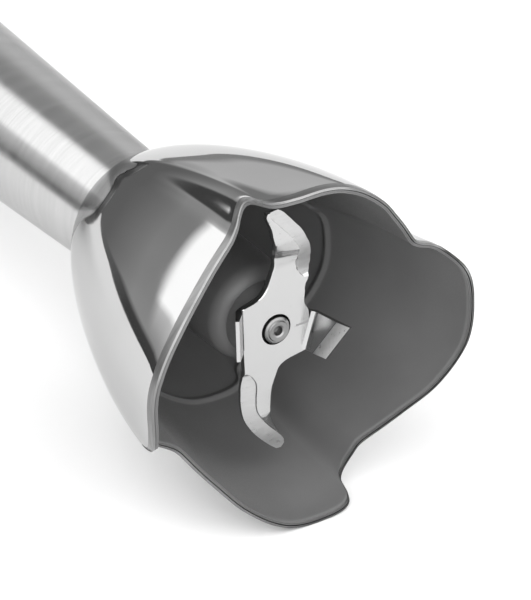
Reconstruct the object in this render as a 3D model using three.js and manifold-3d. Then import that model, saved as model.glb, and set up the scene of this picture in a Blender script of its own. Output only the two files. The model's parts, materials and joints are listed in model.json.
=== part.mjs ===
// Immersion blender lying on its side: a detachable steel foot with its cutter, and the motor handle.
// Units are millimetres, +Z is up. The spin axis runs along X and the bell opens towards +X.
// Shapes are drawn on a long axis whose zero is the plane of the lobe tips; the motor is at negative x.
import * as THREE from 'three';
import { mergeVertices } from 'three/addons/utils/BufferGeometryUtils.js';
import Module from 'manifold-3d';

const wasm = await Module();
wasm.setup();

// ---- Driving dimensions ----
const OVERALL_LENGTH = 395;
const GAP = 0.3; // clearance left between neighbouring solids
const BORE_CLEARANCE = 0.1; // radial clearance of rings and hubs on their shafts

// Bell and its lining
const NECK_X = -66; // where the bell meets the tube
const DOME_LENGTH = 63; // from the mean rim plane back to the neck
const NECK_RADIUS = 12.4;
const BELL_RISE = 20.3; // growth in radius from neck to rim
const BELL_WALL = 0.6;
const LINING_WALL = 1.5;
const LOBES = 4;
const DOME_STEPS = 6;
// One lobe of the rim: angle in degrees, radius, set-back behind the tip plane.
const RIM_LOBE = [
  [5, 35.2, -0.1],
  [14, 35.4, 1.6],
  [18, 34.5, 7.6],
  [25, 31.0, 7.2],
  [32, 29.7, 6.4],
  [48, 30.1, 3.9],
  [63, 32.1, 1.4],
  [81, 34.8, -0.1],
];
const BEAD_X = -34; // raised ring inside the dome
const BEAD_HEIGHT = 0.7;
const HUB_RADIUS = 9.8;
const HUB_FRONT_X = -19.4;
const HUB_BORE = 6.3;
const HUB_SPIGOT_RADIUS = 10.8; // the lining's plug inside the tube's mouth
const HUB_SPIGOT_LENGTH = 9;

// Tube and collar
const TUBE_END_X = -206;
const TUBE_SLOPE = 0.0435; // growth in radius per millimetre towards the motor
const TUBE_WALL = 1.0;
const COLLAR_FRONT_X = -197;
const COLLAR_FACE_X = -218;
const SPIGOT_RADIUS = 23;
const SPIGOT_END_X = -236;

// Cutter
const BLADE_FRONT_X = -14;
const BLADE_THICKNESS = 1.2;
const BLADE_ANGLE = 93; // direction of the upper long arm round the axis, from +Y
const BLADE_HOLE = 3.2;
const EDGE_THICKNESS = 0.35;
const WING_BEND = 64; // short wings, degrees out of the blade's plane
const BLADE_HUB_RADIUS = 7.4;
// Outline of a wing: distance out from the bend, distance along it.
const WING_OUTLINE = [[-1.2, 0.4], [8.1, 0.4], [4.9, -7.1], [-1.2, -7.1]];
const WING_BEND_LINE = [[8.1, 1.1], [5.4, -6.3]]; // its ends on the flat plate
// The two long arms: one rises towards the open end near its root, the other drops back near its tip.
// Rows hold the distance along the arm, left edge, bevel line and right edge.
const UPPER_ARM = {
  turn: 0,
  rise: 1.2,
  rampStart: 9,
  rampEnd: 13.8,
  rows: [
    [1.6, -7.4, 7.0, 7.2],
    [3.5, -7.2, 6.2, 6.4],
    [5.9, -6.7, 6.4, 6.6],
    [6.9, -4.6, 6.6, 6.8],
    [8.2, -2.4, 6.9, 7.2],
    [9.9, -1.3, 5.9, 8.0],
    [11.5, -0.8, 5.4, 8.1],
    [13.2, -0.6, 5.1, 7.8],
    [15.8, -0.3, 4.9, 7.4],
    [18, -0.2, 4.3, 6.8],
    [20.6, -0.5, 2.4, 5.4],
    [22.6, -1.0, 0.7, 3.8],
    [24.3, -1.5, -0.6, 2.4],
    [25.3, -1.6, -1.2, 1.5],
    [25.9, -1.0, -0.7, 0.7],
  ],
};
const LOWER_ARM = {
  turn: Math.PI,
  rise: -0.8,
  rampStart: 17.6,
  rampEnd: 20.4,
  rows: [
    [1.6, -7.4, 7.0, 7.2],
    [3.5, -7.2, 7.0, 7.2],
    [5.9, -6.8, 7.0, 7.2],
    [6.6, -5.4, 7.0, 7.2],
    [7.3, -2.2, 6.9, 7.3],
    [8.2, -0.6, 5.9, 7.5],
    [9.9, 0.3, 5.0, 8.0],
    [11.5, 1.0, 4.9, 8.1],
    [13.2, 1.5, 5.1, 8.2],
    [15.8, 1.8, 5.1, 8.0],
    [18, 1.8, 4.2, 7.4],
    [20.6, 0.9, 2.4, 6.0],
    [22.6, 0, 0.7, 4.5],
    [24.3, -0.8, -0.5, 3.0],
    [25.4, -0.9, -0.6, 1.9],
    [26.2, -0.2, 0.1, 1.0],
  ],
};

// Shafts
const DRIVE_SHAFT_RADIUS = 3;
const DRIVE_SHAFT_END_X = -224.6;
const ROTOR_SHAFT_RADIUS = 2.5;

// Motor handle
const HOUSING_WALL = 2.4;
const HOUSING_FRONT_X = -230.3;
const END_CAP_X = -384.3;
// Stations along the handle: x, half width, height above the axis, depth below it.
const HANDLE_STATIONS = [
  [HOUSING_FRONT_X, 28.6, 28.6, 28.6],
  [-245, 29.0, 29.2, 29.4],
  [-268, 29.3, 30.0, 31.4],
  [-292, 29.1, 30.5, 32.6],
  [-318, 28.6, 30.4, 32.8],
  [-344, 28.1, 29.8, 32.2],
  [-366, 27.8, 28.9, 31.0],
  [END_CAP_X + GAP, 27.0, 27.6, 29.2],
];
const MOTOR_FRONT_X = -243;
const MOTOR_REAR_X = -300;
const MOTOR_RADIUS = 20;
const MOTOR_WALL = 1.6;
const FAN_X = -314;
const FAN_RADIUS = 21;
const FAN_BLADES = 9;
const ARMATURE_SLOTS = 10;
// One tooth of the armature: angle from its middle in radians, radius.
const ARMATURE_TOOTH = [[-0.24, 14.3], [0, 14.4], [0.24, 14.3], [0.2, 12.8], [0.24, 8], [0.39, 8]];
const POWER_BUTTON = { x: -330, length: 16, width: 12 };
const TURBO_BUTTON = { x: -350, length: 12, width: 12 };
const BUTTON_TOP = 31;
const BUTTON_BASE = 23.6;
const RELEASE_BUTTON = { x: -252, length: 13, height: 14 };
const BOARD_Z = 8.6;
const BOARD_LEDGES = [-334, -364];
const DIAL_Z = 7;
const DIAL_RADIUS = 11;
const GLAND_Z = -15;
const SCREWS = [
  { name: 'housing_screw_front_upper', x: -264, z: 24.4 },
  { name: 'housing_screw_front_lower', x: -264, z: -24.4 },
  { name: 'housing_screw_rear_upper', x: -368, z: 21.5 },
  { name: 'housing_screw_rear_lower', x: -368, z: -21.5 },
];
const REST_PAD = { x: -318, length: 64, width: 18, top: -31.5 };
const CORNER_RADIUS = 4; // buttons and rest pad
const VENTS = { x: -306.5, count: 4, pitch: 4, width: 1.8, halfHeight: 8 };
const DIAL_FLUTES = 20;

// ---- Geometry helpers ----

// Welds a geometry, drops triangles that collapsed and turns every face outwards.
function clean(geometry) {
  geometry.deleteAttribute('normal');
  geometry.deleteAttribute('uv');
  const welded = mergeVertices(geometry, 1e-4);
  const position = welded.attributes.position;
  const at = (i) => new THREE.Vector3().fromBufferAttribute(position, i);
  const kept = [];
  let volume = 0;
  for (let i = 0; i < welded.index.count; i += 3) {
    const [a, b, c] = [0, 1, 2].map((k) => welded.index.getX(i + k));
    if (a === b || b === c || a === c) continue;
    kept.push(a, b, c);
    volume += at(a).dot(at(b).cross(at(c)));
  }
  if (volume < 0) kept.reverse();
  welded.setIndex(kept);
  return welded;
}

function toSolid(geometry) {
  const welded = clean(geometry);
  return new wasm.Manifold(new wasm.Mesh({
    numProp: 3,
    vertProperties: new Float32Array(welded.attributes.position.array),
    triVerts: new Uint32Array(welded.index.array),
  }));
}

function toGeometry(manifold) {
  const mesh = manifold.getMesh();
  const geometry = new THREE.BufferGeometry();
  geometry.setAttribute('position', new THREE.Float32BufferAttribute(mesh.vertProperties, 3));
  geometry.setIndex(Array.from(mesh.triVerts));
  return geometry;
}

function cut(geometry, tools) {
  return toGeometry(tools.reduce((body, tool) => body.subtract(toSolid(tool)), toSolid(geometry)));
}

function join(geometries) {
  const [first, ...others] = geometries.map(toSolid);
  return toGeometry(others.reduce((body, other) => body.add(other), first));
}

// A solid of revolution about the X axis from [x, radius] points.
function turned(profile, segments = 20) {
  const points = profile.map(([x, radius]) => new THREE.Vector2(radius, x));
  const closesOnAxis = profile[0][1] === 0 && profile.at(-1)[1] === 0;
  if (!closesOnAxis) points.push(points[0].clone());
  return clean(new THREE.LatheGeometry(points, segments).rotateZ(-Math.PI / 2));
}

function rod(x0, x1, radius, segments = 20) {
  return turned([[x0, 0], [x0, radius], [x1, radius], [x1, 0]], segments);
}

function ring(x0, x1, inner, outer, segments = 20) {
  return turned([[x0, inner], [x0, outer], [x1, outer], [x1, inner]], segments);
}

function box(x0, x1, y0, y1, z0, z1) {
  const geometry = new THREE.BoxGeometry(x1 - x0, y1 - y0, z1 - z0);
  return clean(geometry.translate((x0 + x1) / 2, (y0 + y1) / 2, (z0 + z1) / 2));
}

// A span of y or x on one side of zero, in rising order.
const sideSpan = (side, near, far) => (side > 0 ? [near, far] : [-far, -near]);

// A prism along X from a shape drawn in (y, z).
function prismAlongX(shape, x0, x1) {
  const options = { depth: x1 - x0, bevelEnabled: false, curveSegments: 6 };
  const geometry = new THREE.ExtrudeGeometry(shape, options);
  const basis = new THREE.Matrix4().makeBasis(
    new THREE.Vector3(0, 1, 0),
    new THREE.Vector3(0, 0, 1),
    new THREE.Vector3(1, 0, 0),
  );
  return clean(geometry.applyMatrix4(basis).translate(x0, 0, 0));
}

function hexagon(radius) {
  const corners = [0, 1, 2, 3, 4, 5].map((i) => (i * Math.PI) / 3);
  return new THREE.Shape(corners.map((a) => new THREE.Vector2(radius * Math.cos(a), radius * Math.sin(a))));
}

function roundedRectangle(length, width, radius) {
  const shape = new THREE.Shape();
  const [w, h] = [length / 2 - radius, width / 2 - radius];
  shape.absarc(w, h, radius, 0, Math.PI / 2, false);
  shape.absarc(-w, h, radius, Math.PI / 2, Math.PI, false);
  shape.absarc(-w, -h, radius, Math.PI, 1.5 * Math.PI, false);
  shape.absarc(w, -h, radius, 1.5 * Math.PI, 2 * Math.PI, false);
  return shape;
}

// Skins a list of rings of points. The list closes on itself, or its end rings are capped.
function skin(rings, closesOnItself) {
  const count = rings[0].length;
  const positions = rings.flat(2);
  const faces = [];
  const quad = (a, b, c, d) => faces.push(a, b, c, a, c, d);
  const last = closesOnItself ? rings.length : rings.length - 1;
  for (let i = 0; i < last; i += 1) {
    const j = (i + 1) % rings.length;
    for (let k = 0; k < count; k += 1) {
      const n = (k + 1) % count;
      quad(i * count + k, i * count + n, j * count + n, j * count + k);
    }
  }
  if (!closesOnItself) {
    for (const [r, flip] of [[0, true], [rings.length - 1, false]]) {
      const middle = positions.length / 3;
      positions.push(...[0, 1, 2].map((axis) => rings[r].reduce((sum, p) => sum + p[axis], 0) / count));
      for (let k = 0; k < count; k += 1) {
        const n = (k + 1) % count;
        const [a, b] = flip ? [n, k] : [k, n];
        faces.push(r * count + a, r * count + b, middle);
      }
    }
  }
  const geometry = new THREE.BufferGeometry();
  geometry.setAttribute('position', new THREE.Float32BufferAttribute(positions, 3));
  geometry.setIndex(faces);
  return clean(geometry);
}

// A coil spring along +Z standing on the origin.
function coilSpring(length, coilRadius, wireRadius, turns) {
  class Helix extends THREE.Curve {
    getPoint(t, target = new THREE.Vector3()) {
      const angle = 2 * Math.PI * turns * t;
      const height = wireRadius + t * (length - 2 * wireRadius);
      return target.set(coilRadius * Math.cos(angle), coilRadius * Math.sin(angle), height);
    }
  }
  const wire = new THREE.Shape([0, 1, 2, 3].map((i) => {
    const angle = (i * Math.PI) / 2;
    return new THREE.Vector2(wireRadius * Math.cos(angle), wireRadius * Math.sin(angle));
  }));
  return clean(new THREE.ExtrudeGeometry(wire, { steps: turns * 7, extrudePath: new Helix() }));
}

// ---- Bell form ----

// The rim at position u, counted in control points round the four lobes: [angle, radius, set-back].
function rimPoint(u) {
  const control = (i) => {
    const lobe = Math.floor(i / RIM_LOBE.length);
    const [angle, radius, setBack] = RIM_LOBE[i - lobe * RIM_LOBE.length];
    return [((angle + lobe * 90) * Math.PI) / 180, radius, setBack];
  };
  const i = Math.floor(u);
  const f = u - i;
  const [a, b, c, d] = [i - 1, i, i + 1, i + 2].map(control);
  const blend = (k) => b[k] + 0.5 * f * (c[k] - a[k]
    + f * (2 * a[k] - 5 * b[k] + 4 * c[k] - d[k] + f * (3 * (b[k] - c[k]) + d[k] - a[k])));
  return [blend(0), blend(1), Math.max(0, blend(2))];
}

const meanDomeRadius = (t) => NECK_RADIUS + BELL_RISE * (1 - Math.max(t, 0) ** 1.48) ** 0.72;

// Outer surface of the bell: u runs round the rim, v runs from the rim (0) to the neck (1).
function bellSurface(u, v) {
  const [angle, rimRadius, setBack] = rimPoint(u);
  const rimT = (setBack - (-NECK_X - DOME_LENGTH)) / DOME_LENGTH;
  const t = rimT + (1 - rimT) * v;
  const lobe = (rimRadius - meanDomeRadius(rimT)) * (1 - v) ** 1.05;
  return { angle, x: NECK_X + DOME_LENGTH * (1 - t), radius: meanDomeRadius(t) + lobe };
}

// The same surface moved inwards by an offset measured square to the wall.
function bellPoint(u, v, offset) {
  const here = bellSurface(u, v);
  const near = bellSurface(u, Math.max(v - 0.01, 0));
  const far = bellSurface(u, Math.min(v + 0.01, 1));
  const dx = near.x - far.x;
  const dr = near.radius - far.radius;
  const length = Math.hypot(dx, dr);
  const x = v === 0 ? here.x : here.x + (offset * dr) / length;
  const radius = here.radius - (v === 0 ? offset * length / dx : (offset * dx) / length);
  return [x, radius * Math.cos(here.angle), radius * Math.sin(here.angle)];
}

// Positions round the rim: each control point and the middle of the longer spans.
function rimSteps() {
  const steps = [];
  for (let lobe = 0; lobe < LOBES; lobe += 1) {
    RIM_LOBE.forEach((control, i) => {
      const next = RIM_LOBE[i + 1]?.[0] ?? RIM_LOBE[0][0] + 90;
      const u = lobe * RIM_LOBE.length + i;
      steps.push(u);
      if (next - control[0] > 15) steps.push(u + 0.5);
    });
  }
  return steps;
}

const RIM_STEPS = rimSteps();
// The lobes rest on the surface that the blender lies on.
const AXIS_HEIGHT = Math.max(...RIM_STEPS.map((u) => -bellPoint(u, 0, 0)[2]));
const bellRing = (v, offset) => RIM_STEPS.map((u) => bellPoint(u, v, offset));
const roundRing = (x, radius) => RIM_STEPS.map((u) => {
  const [angle] = rimPoint(u);
  return [x, radius * Math.cos(angle), radius * Math.sin(angle)];
});
// Depths from the rim (0) to last, closer together towards the neck.
const domeSteps = (last) => Array.from(
  { length: DOME_STEPS + 1 },
  (_, i) => last * (1 - (1 - i / DOME_STEPS) ** 1.3),
);

function bellShell() {
  const outer = domeSteps(1).map((v) => bellRing(v, 0));
  const inner = domeSteps(0.985).map((v) => bellRing(v, BELL_WALL));
  const collar = roundRing(NECK_X + BELL_WALL, NECK_RADIUS);
  return skin([...outer, collar, ...inner.reverse()], true);
}

function bellLining() {
  const back = BELL_WALL + GAP;
  const front = back + LINING_WALL;
  const outer = domeSteps(0.95).map((v) => bellRing(v, back));
  const beadV = (BEAD_X - NECK_X) / DOME_LENGTH;
  const inner = [0, 0.2, 0.4, 0.64, 0.8, 0.9].map((v) => bellRing(v, front));
  const bead = [-0.025, 0, 0.025].map((step, i) => {
    const proud = i === 1 ? BEAD_HEIGHT : 0;
    return bellRing(1 - beadV - 0.02 + step, front + proud);
  });
  inner.splice(3, 0, ...bead);
  const tail = NECK_X - HUB_SPIGOT_LENGTH;
  const spigot = [roundRing(NECK_X + 1.6, HUB_SPIGOT_RADIUS), roundRing(tail, HUB_SPIGOT_RADIUS)];
  const bore = [roundRing(tail, HUB_BORE), roundRing(HUB_FRONT_X, HUB_BORE)];
  const hub = [
    roundRing(HUB_FRONT_X, HUB_RADIUS - 2),
    roundRing(HUB_FRONT_X - 0.6, HUB_RADIUS - 0.7),
    roundRing(HUB_FRONT_X - 2.2, HUB_RADIUS),
    roundRing(NECK_X + 11, HUB_RADIUS + 0.6),
  ];
  return skin([...outer, ...spigot, ...bore, ...hub, ...inner.reverse()], true);
}

// ---- Foot ----

const tubeRadius = (x) => NECK_RADIUS + TUBE_SLOPE * (NECK_X - x);

function footTube() {
  const front = NECK_X - GAP;
  return turned([
    [front, NECK_RADIUS - TUBE_WALL],
    [front, NECK_RADIUS],
    [TUBE_END_X, tubeRadius(TUBE_END_X)],
    [TUBE_END_X, tubeRadius(TUBE_END_X) - TUBE_WALL],
  ], 20);
}

function footCollar() {
  const sleeve = tubeRadius(TUBE_END_X) + 0.35;
  return turned([
    [COLLAR_FRONT_X, sleeve],
    [COLLAR_FRONT_X, 20],
    [-203, 22.2],
    [-210, 24.8],
    [-215, 26.4],
    [COLLAR_FACE_X, 27],
    [COLLAR_FACE_X, SPIGOT_RADIUS],
    [-222.5, SPIGOT_RADIUS],
    [-222.5, 21.6],
    [-226.5, 21.6],
    [-226.5, SPIGOT_RADIUS],
    [SPIGOT_END_X, SPIGOT_RADIUS],
    [SPIGOT_END_X, 20],
    [-227.5, 19.2],
    [-221, 9.8],
    [-214.6, 9.8],
    [-214.6, 6],
    [-211, 6],
    [-209, 15],
    [TUBE_END_X - GAP, 16.5],
    [TUBE_END_X - GAP, sleeve],
  ], 20);
}

const lowerBush = () => ring(-38, -24.4, DRIVE_SHAFT_RADIUS + GAP, HUB_BORE - GAP, 20);

function lipSeal() {
  return turned([
    [-24, 3.9],
    [-24, HUB_BORE - GAP],
    [HUB_FRONT_X - 0.2, HUB_BORE - GAP],
    [HUB_FRONT_X - 0.2, 5],
    [HUB_FRONT_X - 1.4, DRIVE_SHAFT_RADIUS + GAP],
    [-22, DRIVE_SHAFT_RADIUS + GAP],
  ], 20);
}

function shaftGuide() {
  const outer = tubeRadius(-130) - TUBE_WALL - 0.4;
  const windows = [0, 1, 2, 3].map((i) => {
    const window = rod(-140, -120, 2.6, 12).translate(0, 8.4, 0);
    return window.rotateX((i * Math.PI) / 2);
  });
  return cut(ring(-138, -130, DRIVE_SHAFT_RADIUS + GAP, outer, 24), windows);
}

const upperBearing = () => ring(-220.6, -214.9, DRIVE_SHAFT_RADIUS + BORE_CLEARANCE, 9.5, 20);
const shaftCirclip = () => ring(-213.9, -212.7, DRIVE_SHAFT_RADIUS + BORE_CLEARANCE, 5.4, 20);

function footORing() {
  const section = [0, 1, 2, 3].map((i) => {
    const angle = (i * Math.PI) / 2;
    return [-224.5 + 0.85 * Math.cos(angle), 22.4 + 0.65 * Math.sin(angle)];
  });
  return turned(section, 20);
}

// ---- Cutter and its shaft ----

// One section of an arm: five points round a thin plate, front face first.
function armSection([along, left, bevel, right], { rise, rampStart, rampEnd }) {
  const front = BLADE_FRONT_X + rise * THREE.MathUtils.smoothstep(along, rampStart, rampEnd);
  const back = front - BLADE_THICKNESS;
  return [
    [front, left, along],
    [front, bevel, along],
    [back + EDGE_THICKNESS, right, along],
    [back, right, along],
    [back, left, along],
  ];
}

function bladeArm(arm) {
  const root = [-1, ...arm.rows[0].slice(1)];
  return skin([root, ...arm.rows].map((row) => armSection(row, arm)), false).rotateX(arm.turn);
}

// A short wing: a flat tab with a ground edge, bent out of the plate towards the open end.
function bladeWing() {
  const outline = new THREE.Shape(WING_OUTLINE.map(([out, along]) => new THREE.Vector2(out, along)));
  const plate = new THREE.ExtrudeGeometry(outline, { depth: BLADE_THICKNESS, bevelEnabled: false });
  const [[rootY, rootZ], [endY, endZ]] = WING_BEND_LINE;
  const bend = new THREE.Vector3(endY - rootY, endZ - rootZ, 0).normalize();
  const outwards = new THREE.Vector3(-bend.y, bend.x, 0);
  const lift = THREE.MathUtils.degToRad(WING_BEND);
  const raised = outwards.clone().multiplyScalar(Math.cos(lift));
  raised.z = Math.sin(lift);
  const normal = new THREE.Vector3().crossVectors(raised, bend.clone().negate());
  const frame = new THREE.Matrix4().makeBasis(raised, bend.clone().negate(), normal);
  return clean(plate.translate(0, 0, -BLADE_THICKNESS).applyMatrix4(frame).translate(rootY, rootZ, 0));
}

function cutterBlade() {
  const hub = new THREE.CylinderGeometry(BLADE_HUB_RADIUS, BLADE_HUB_RADIUS, BLADE_THICKNESS, 28);
  hub.rotateZ(Math.PI / 2);
  hub.translate(BLADE_FRONT_X - BLADE_THICKNESS / 2, 0, 0);
  const toPlate = new THREE.Matrix4().makeBasis(
    new THREE.Vector3(0, 1, 0),
    new THREE.Vector3(0, 0, 1),
    new THREE.Vector3(1, 0, 0),
  );
  const halves = [UPPER_ARM, LOWER_ARM].flatMap((arm) => [
    bladeArm(arm),
    bladeWing().applyMatrix4(toPlate).translate(BLADE_FRONT_X, 0, 0).rotateX(arm.turn),
  ]);
  const plate = cut(join([hub, ...halves]), [rod(-20, -10, BLADE_HOLE, 28)]);
  return plate.rotateX(THREE.MathUtils.degToRad(BLADE_ANGLE - 90));
}

function bladeHub() {
  return turned([
    [-19, 3.3],
    [-19, 5.6],
    [-17, 6.2],
    [BLADE_FRONT_X - BLADE_THICKNESS - GAP, 6.2],
    [BLADE_FRONT_X - BLADE_THICKNESS - GAP, 3.3],
  ], 20);
}

function driveShaft() {
  return turned([
    [BLADE_FRONT_X, 0],
    [BLADE_FRONT_X + 1, 1],
    [BLADE_FRONT_X + 1, 2.2],
    [BLADE_FRONT_X + 0.6, 2.7],
    [-19.4, 2.8],
    [-19.4, DRIVE_SHAFT_RADIUS],
    [DRIVE_SHAFT_END_X, DRIVE_SHAFT_RADIUS],
    [DRIVE_SHAFT_END_X, 0],
  ], 20);
}

function drivenCoupling() {
  const body = turned([[-221.2, 0], [-221.2, 5.5], [-222.5, 8.5], [-231, 8.5], [-232, 7.6], [-232, 0]], 20);
  const shaftHole = rod(-225, -220, DRIVE_SHAFT_RADIUS + BORE_CLEARANCE, 20);
  const socket = prismAlongX(hexagon(4.9), -233, -225);
  return cut(body, [shaftHole, socket]);
}

// ---- Motor ----

function driveCoupling() {
  const dog = prismAlongX(hexagon(4.3), -232.5, -225.4);
  const hub = rod(-237.5, -232.4, 6, 20);
  return cut(join([dog, hub]), [rod(-238, -227, ROTOR_SHAFT_RADIUS + BORE_CLEARANCE, 20)]);
}

const rotorShaft = () => rod(-316, -227.5, ROTOR_SHAFT_RADIUS, 16);

function armatureCore() {
  const outline = [];
  for (let i = 0; i < ARMATURE_SLOTS; i += 1) {
    const middle = (i * 2 * Math.PI) / ARMATURE_SLOTS;
    for (const [offset, radius] of ARMATURE_TOOTH) {
      const angle = middle + offset;
      outline.push(new THREE.Vector2(radius * Math.cos(angle), radius * Math.sin(angle)));
    }
  }
  const shape = new THREE.Shape(outline);
  shape.holes.push(new THREE.Path().absarc(0, 0, ROTOR_SHAFT_RADIUS + BORE_CLEARANCE, 0, 2 * Math.PI, true));
  return prismAlongX(shape, -282, -256);
}

function winding(x0, x1) {
  const middle = (x0 + x1) / 2;
  return turned([[x0, 5], [x0, 10], [middle, 13], [x1, 13], [x1, 5]], 20);
}

const commutator = () => ring(-293.8, -288.8, ROTOR_SHAFT_RADIUS + BORE_CLEARANCE, 5.5, 20);

function coolingFan() {
  const hub = rod(FAN_X, FAN_X + 8, 6, 20);
  const backPlate = rod(FAN_X, FAN_X + 1, FAN_RADIUS, 20);
  const blades = Array.from({ length: FAN_BLADES }, (_, i) => {
    const blade = box(FAN_X + 0.5, FAN_X + 7.5, -0.6, 0.6, 5, FAN_RADIUS - 0.5);
    return blade.rotateX((i * 2 * Math.PI) / FAN_BLADES);
  });
  const shaftHole = rod(FAN_X - 1, FAN_X + 9, ROTOR_SHAFT_RADIUS + BORE_CLEARANCE, 16);
  return cut(join([hub, backPlate, ...blades]), [shaftHole]);
}

const motorCan = () => ring(MOTOR_REAR_X, MOTOR_FRONT_X, MOTOR_RADIUS - MOTOR_WALL, MOTOR_RADIUS, 20);
const motorEndbell = (x0, x1) => ring(x0, x1, 8.3, MOTOR_RADIUS - MOTOR_WALL - GAP, 20);
const motorBearing = (x0, x1) => ring(x0, x1, ROTOR_SHAFT_RADIUS + BORE_CLEARANCE, 8, 20);
const motorMount = (x0, x1, inner) => ring(x0, x1, inner, 25.6, 20);

function fieldMagnet(side) {
  const reach = 1.2;
  const middle = (side * Math.PI) / 2;
  const shape = new THREE.Shape();
  shape.absarc(0, 0, MOTOR_RADIUS - MOTOR_WALL - GAP, middle - reach, middle + reach, false);
  shape.absarc(0, 0, 15, middle + reach, middle - reach, true);
  return prismAlongX(shape, -286, -252);
}

const carbonBrush = (side) => box(-292.8, -289.6, ...sideSpan(side, 5.9, 12.5), -2, 2);

function brushHolder(side) {
  const body = box(-294, -288.4, ...sideSpan(side, 8, 17.6), -3.2, 3.2);
  return cut(body, [box(-293.1, -289.3, ...sideSpan(side, 7, 15.5), -2.3, 2.3)]);
}

// ---- Handle ----

// Half of the handle's section at one station: the outer arc, then the inner arc back.
function halfSection([x, halfWidth, top, bottom], side, wall) {
  const arc = (inset) => Array.from({ length: 11 }, (_, i) => {
    const angle = ((i - 5) * Math.PI) / 10;
    const height = (Math.sin(angle) > 0 ? top : bottom) - inset;
    return [x, side * (GAP / 2 + (halfWidth - inset - GAP / 2) * Math.cos(angle)), height * Math.sin(angle)];
  });
  return wall ? [...arc(0), ...arc(wall).reverse()] : arc(0);
}

const halfHandle = (side) => skin(HANDLE_STATIONS.map((station) => halfSection(station, side, 0)), false);

function housingCavity() {
  const sections = HANDLE_STATIONS.map(([x, halfWidth, top, bottom], i) => {
    const past = i === 0 ? 1 : i === HANDLE_STATIONS.length - 1 ? -1 : 0;
    return Array.from({ length: 24 }, (_, k) => {
      const angle = (k * Math.PI) / 12;
      const height = (Math.sin(angle) > 0 ? top : bottom) - HOUSING_WALL;
      return [x + past, (halfWidth - HOUSING_WALL) * Math.cos(angle), height * Math.sin(angle)];
    });
  });
  return skin(sections, false);
}

function alongY(x, z, y0, y1, radius, segments = 10) {
  const geometry = new THREE.CylinderGeometry(radius, radius, y1 - y0, segments);
  return clean(geometry.translate(x, (y0 + y1) / 2, z));
}

const buttonSlot = ({ x, length, width }) => {
  const halfLength = length / 2 + GAP;
  return box(x - halfLength, x + halfLength, -width / 2 - GAP, width / 2 + GAP, 20, 40);
};

function screwBoss({ x, z }, side) {
  return alongY(x, z, ...sideSpan(side, GAP / 2, 18), 3.2);
}

function boardLedge(x, side) {
  return box(x - 1.2, x + 1.2, ...sideSpan(side, 14, 27), 5.4, BOARD_Z - GAP);
}

function padRecess() {
  const { x, length, width } = REST_PAD;
  const halfLength = length / 2 + GAP;
  return box(x - halfLength, x + halfLength, -width / 2 - GAP, width / 2 + GAP, -40, REST_PAD.top + GAP);
}

function vents(side) {
  return Array.from({ length: VENTS.count }, (_, i) => {
    const x = VENTS.x - i * VENTS.pitch;
    const [x0, x1] = [x - VENTS.width / 2, x + VENTS.width / 2];
    return box(x0, x1, ...sideSpan(side, 20, 40), -VENTS.halfHeight, VENTS.halfHeight);
  });
}

function housingHalf(side) {
  const outer = toSolid(halfHandle(side));
  const shell = outer.subtract(toSolid(housingCavity()));
  const ribs = [
    ...SCREWS.map((screw) => screwBoss(screw, side)),
    ...BOARD_LEDGES.map((x) => boardLedge(x, side)),
  ];
  const body = ribs.reduce((sum, rib) => sum.add(toSolid(rib).intersect(outer)), shell);
  const tools = [
    buttonSlot(POWER_BUTTON),
    buttonSlot(TURBO_BUTTON),
    padRecess(),
    releaseWindow(side),
    ...vents(side),
    ...SCREWS.map(({ x, z }) => alongY(x, z, -12.5, 9.5, 1.7, 8)),
    ...SCREWS.map(({ x, z }) => alongY(x, z, -40, -12.4, 3.1)),
  ];
  return toGeometry(tools.reduce((sum, tool) => sum.subtract(toSolid(tool)), body));
}

function releaseWindow(side) {
  const { x, length, height } = RELEASE_BUTTON;
  const [halfLength, halfHeight] = [length / 2 + GAP, height / 2 + GAP];
  return box(x - halfLength, x + halfLength, ...sideSpan(side, 22, 40), -halfHeight, halfHeight);
}

function noseRing() {
  return turned([
    [COLLAR_FACE_X - 0.4, SPIGOT_RADIUS + 0.4],
    [COLLAR_FACE_X - 0.4, 26.6],
    [COLLAR_FACE_X - 1, 27.2],
    [-230, 28.5],
    [-230, 25.9],
    [-233, 25.9],
    [-233, SPIGOT_RADIUS + 0.4],
  ], 20);
}

const latchRing = () => ring(-235.8, -233.6, SPIGOT_RADIUS + 0.4, 24.8, 20);

function endCap() {
  const [, halfWidth, top, bottom] = HANDLE_STATIONS.at(-1);
  const section = (x, scale, inset) => Array.from({ length: 24 }, (_, k) => {
    const angle = (k * Math.PI) / 12;
    const height = (Math.sin(angle) > 0 ? top : bottom) * scale - inset;
    return [x, (halfWidth * scale - inset) * Math.cos(angle), height * Math.sin(angle)];
  });
  const cup = skin([
    section(-389.6, 0.9, HOUSING_WALL),
    section(END_CAP_X, 1, HOUSING_WALL),
    section(END_CAP_X, 1, 0),
    section(-388, 0.965, 0),
    section(-390.8, 0.9, 0),
    section(-392, 0.8, 0),
  ], false);
  return cut(cup, [
    rod(-395, -380, 5.4, 24).translate(0, 0, DIAL_Z),
    rod(-395, -380, 4.7, 20).translate(0, 0, GLAND_Z),
  ]);
}

function restPad() {
  const { x, length, width, top } = REST_PAD;
  const shape = roundedRectangle(length, width, CORNER_RADIUS);
  const options = { depth: AXIS_HEIGHT + top, bevelEnabled: false, curveSegments: 3 };
  return clean(new THREE.ExtrudeGeometry(shape, options).translate(x, 0, -AXIS_HEIGHT));
}

function cordGland() {
  const gland = turned([
    [-386, 3.4],
    [-386, 6.2],
    [-389.3, 6.2],
    [-389.3, 4.4],
    [-392.3, 4.4],
    [-392.3, 6],
    [-395, 5.4],
    [-395, 3.4],
  ], 20);
  return gland.translate(0, 0, GLAND_Z);
}

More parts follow.
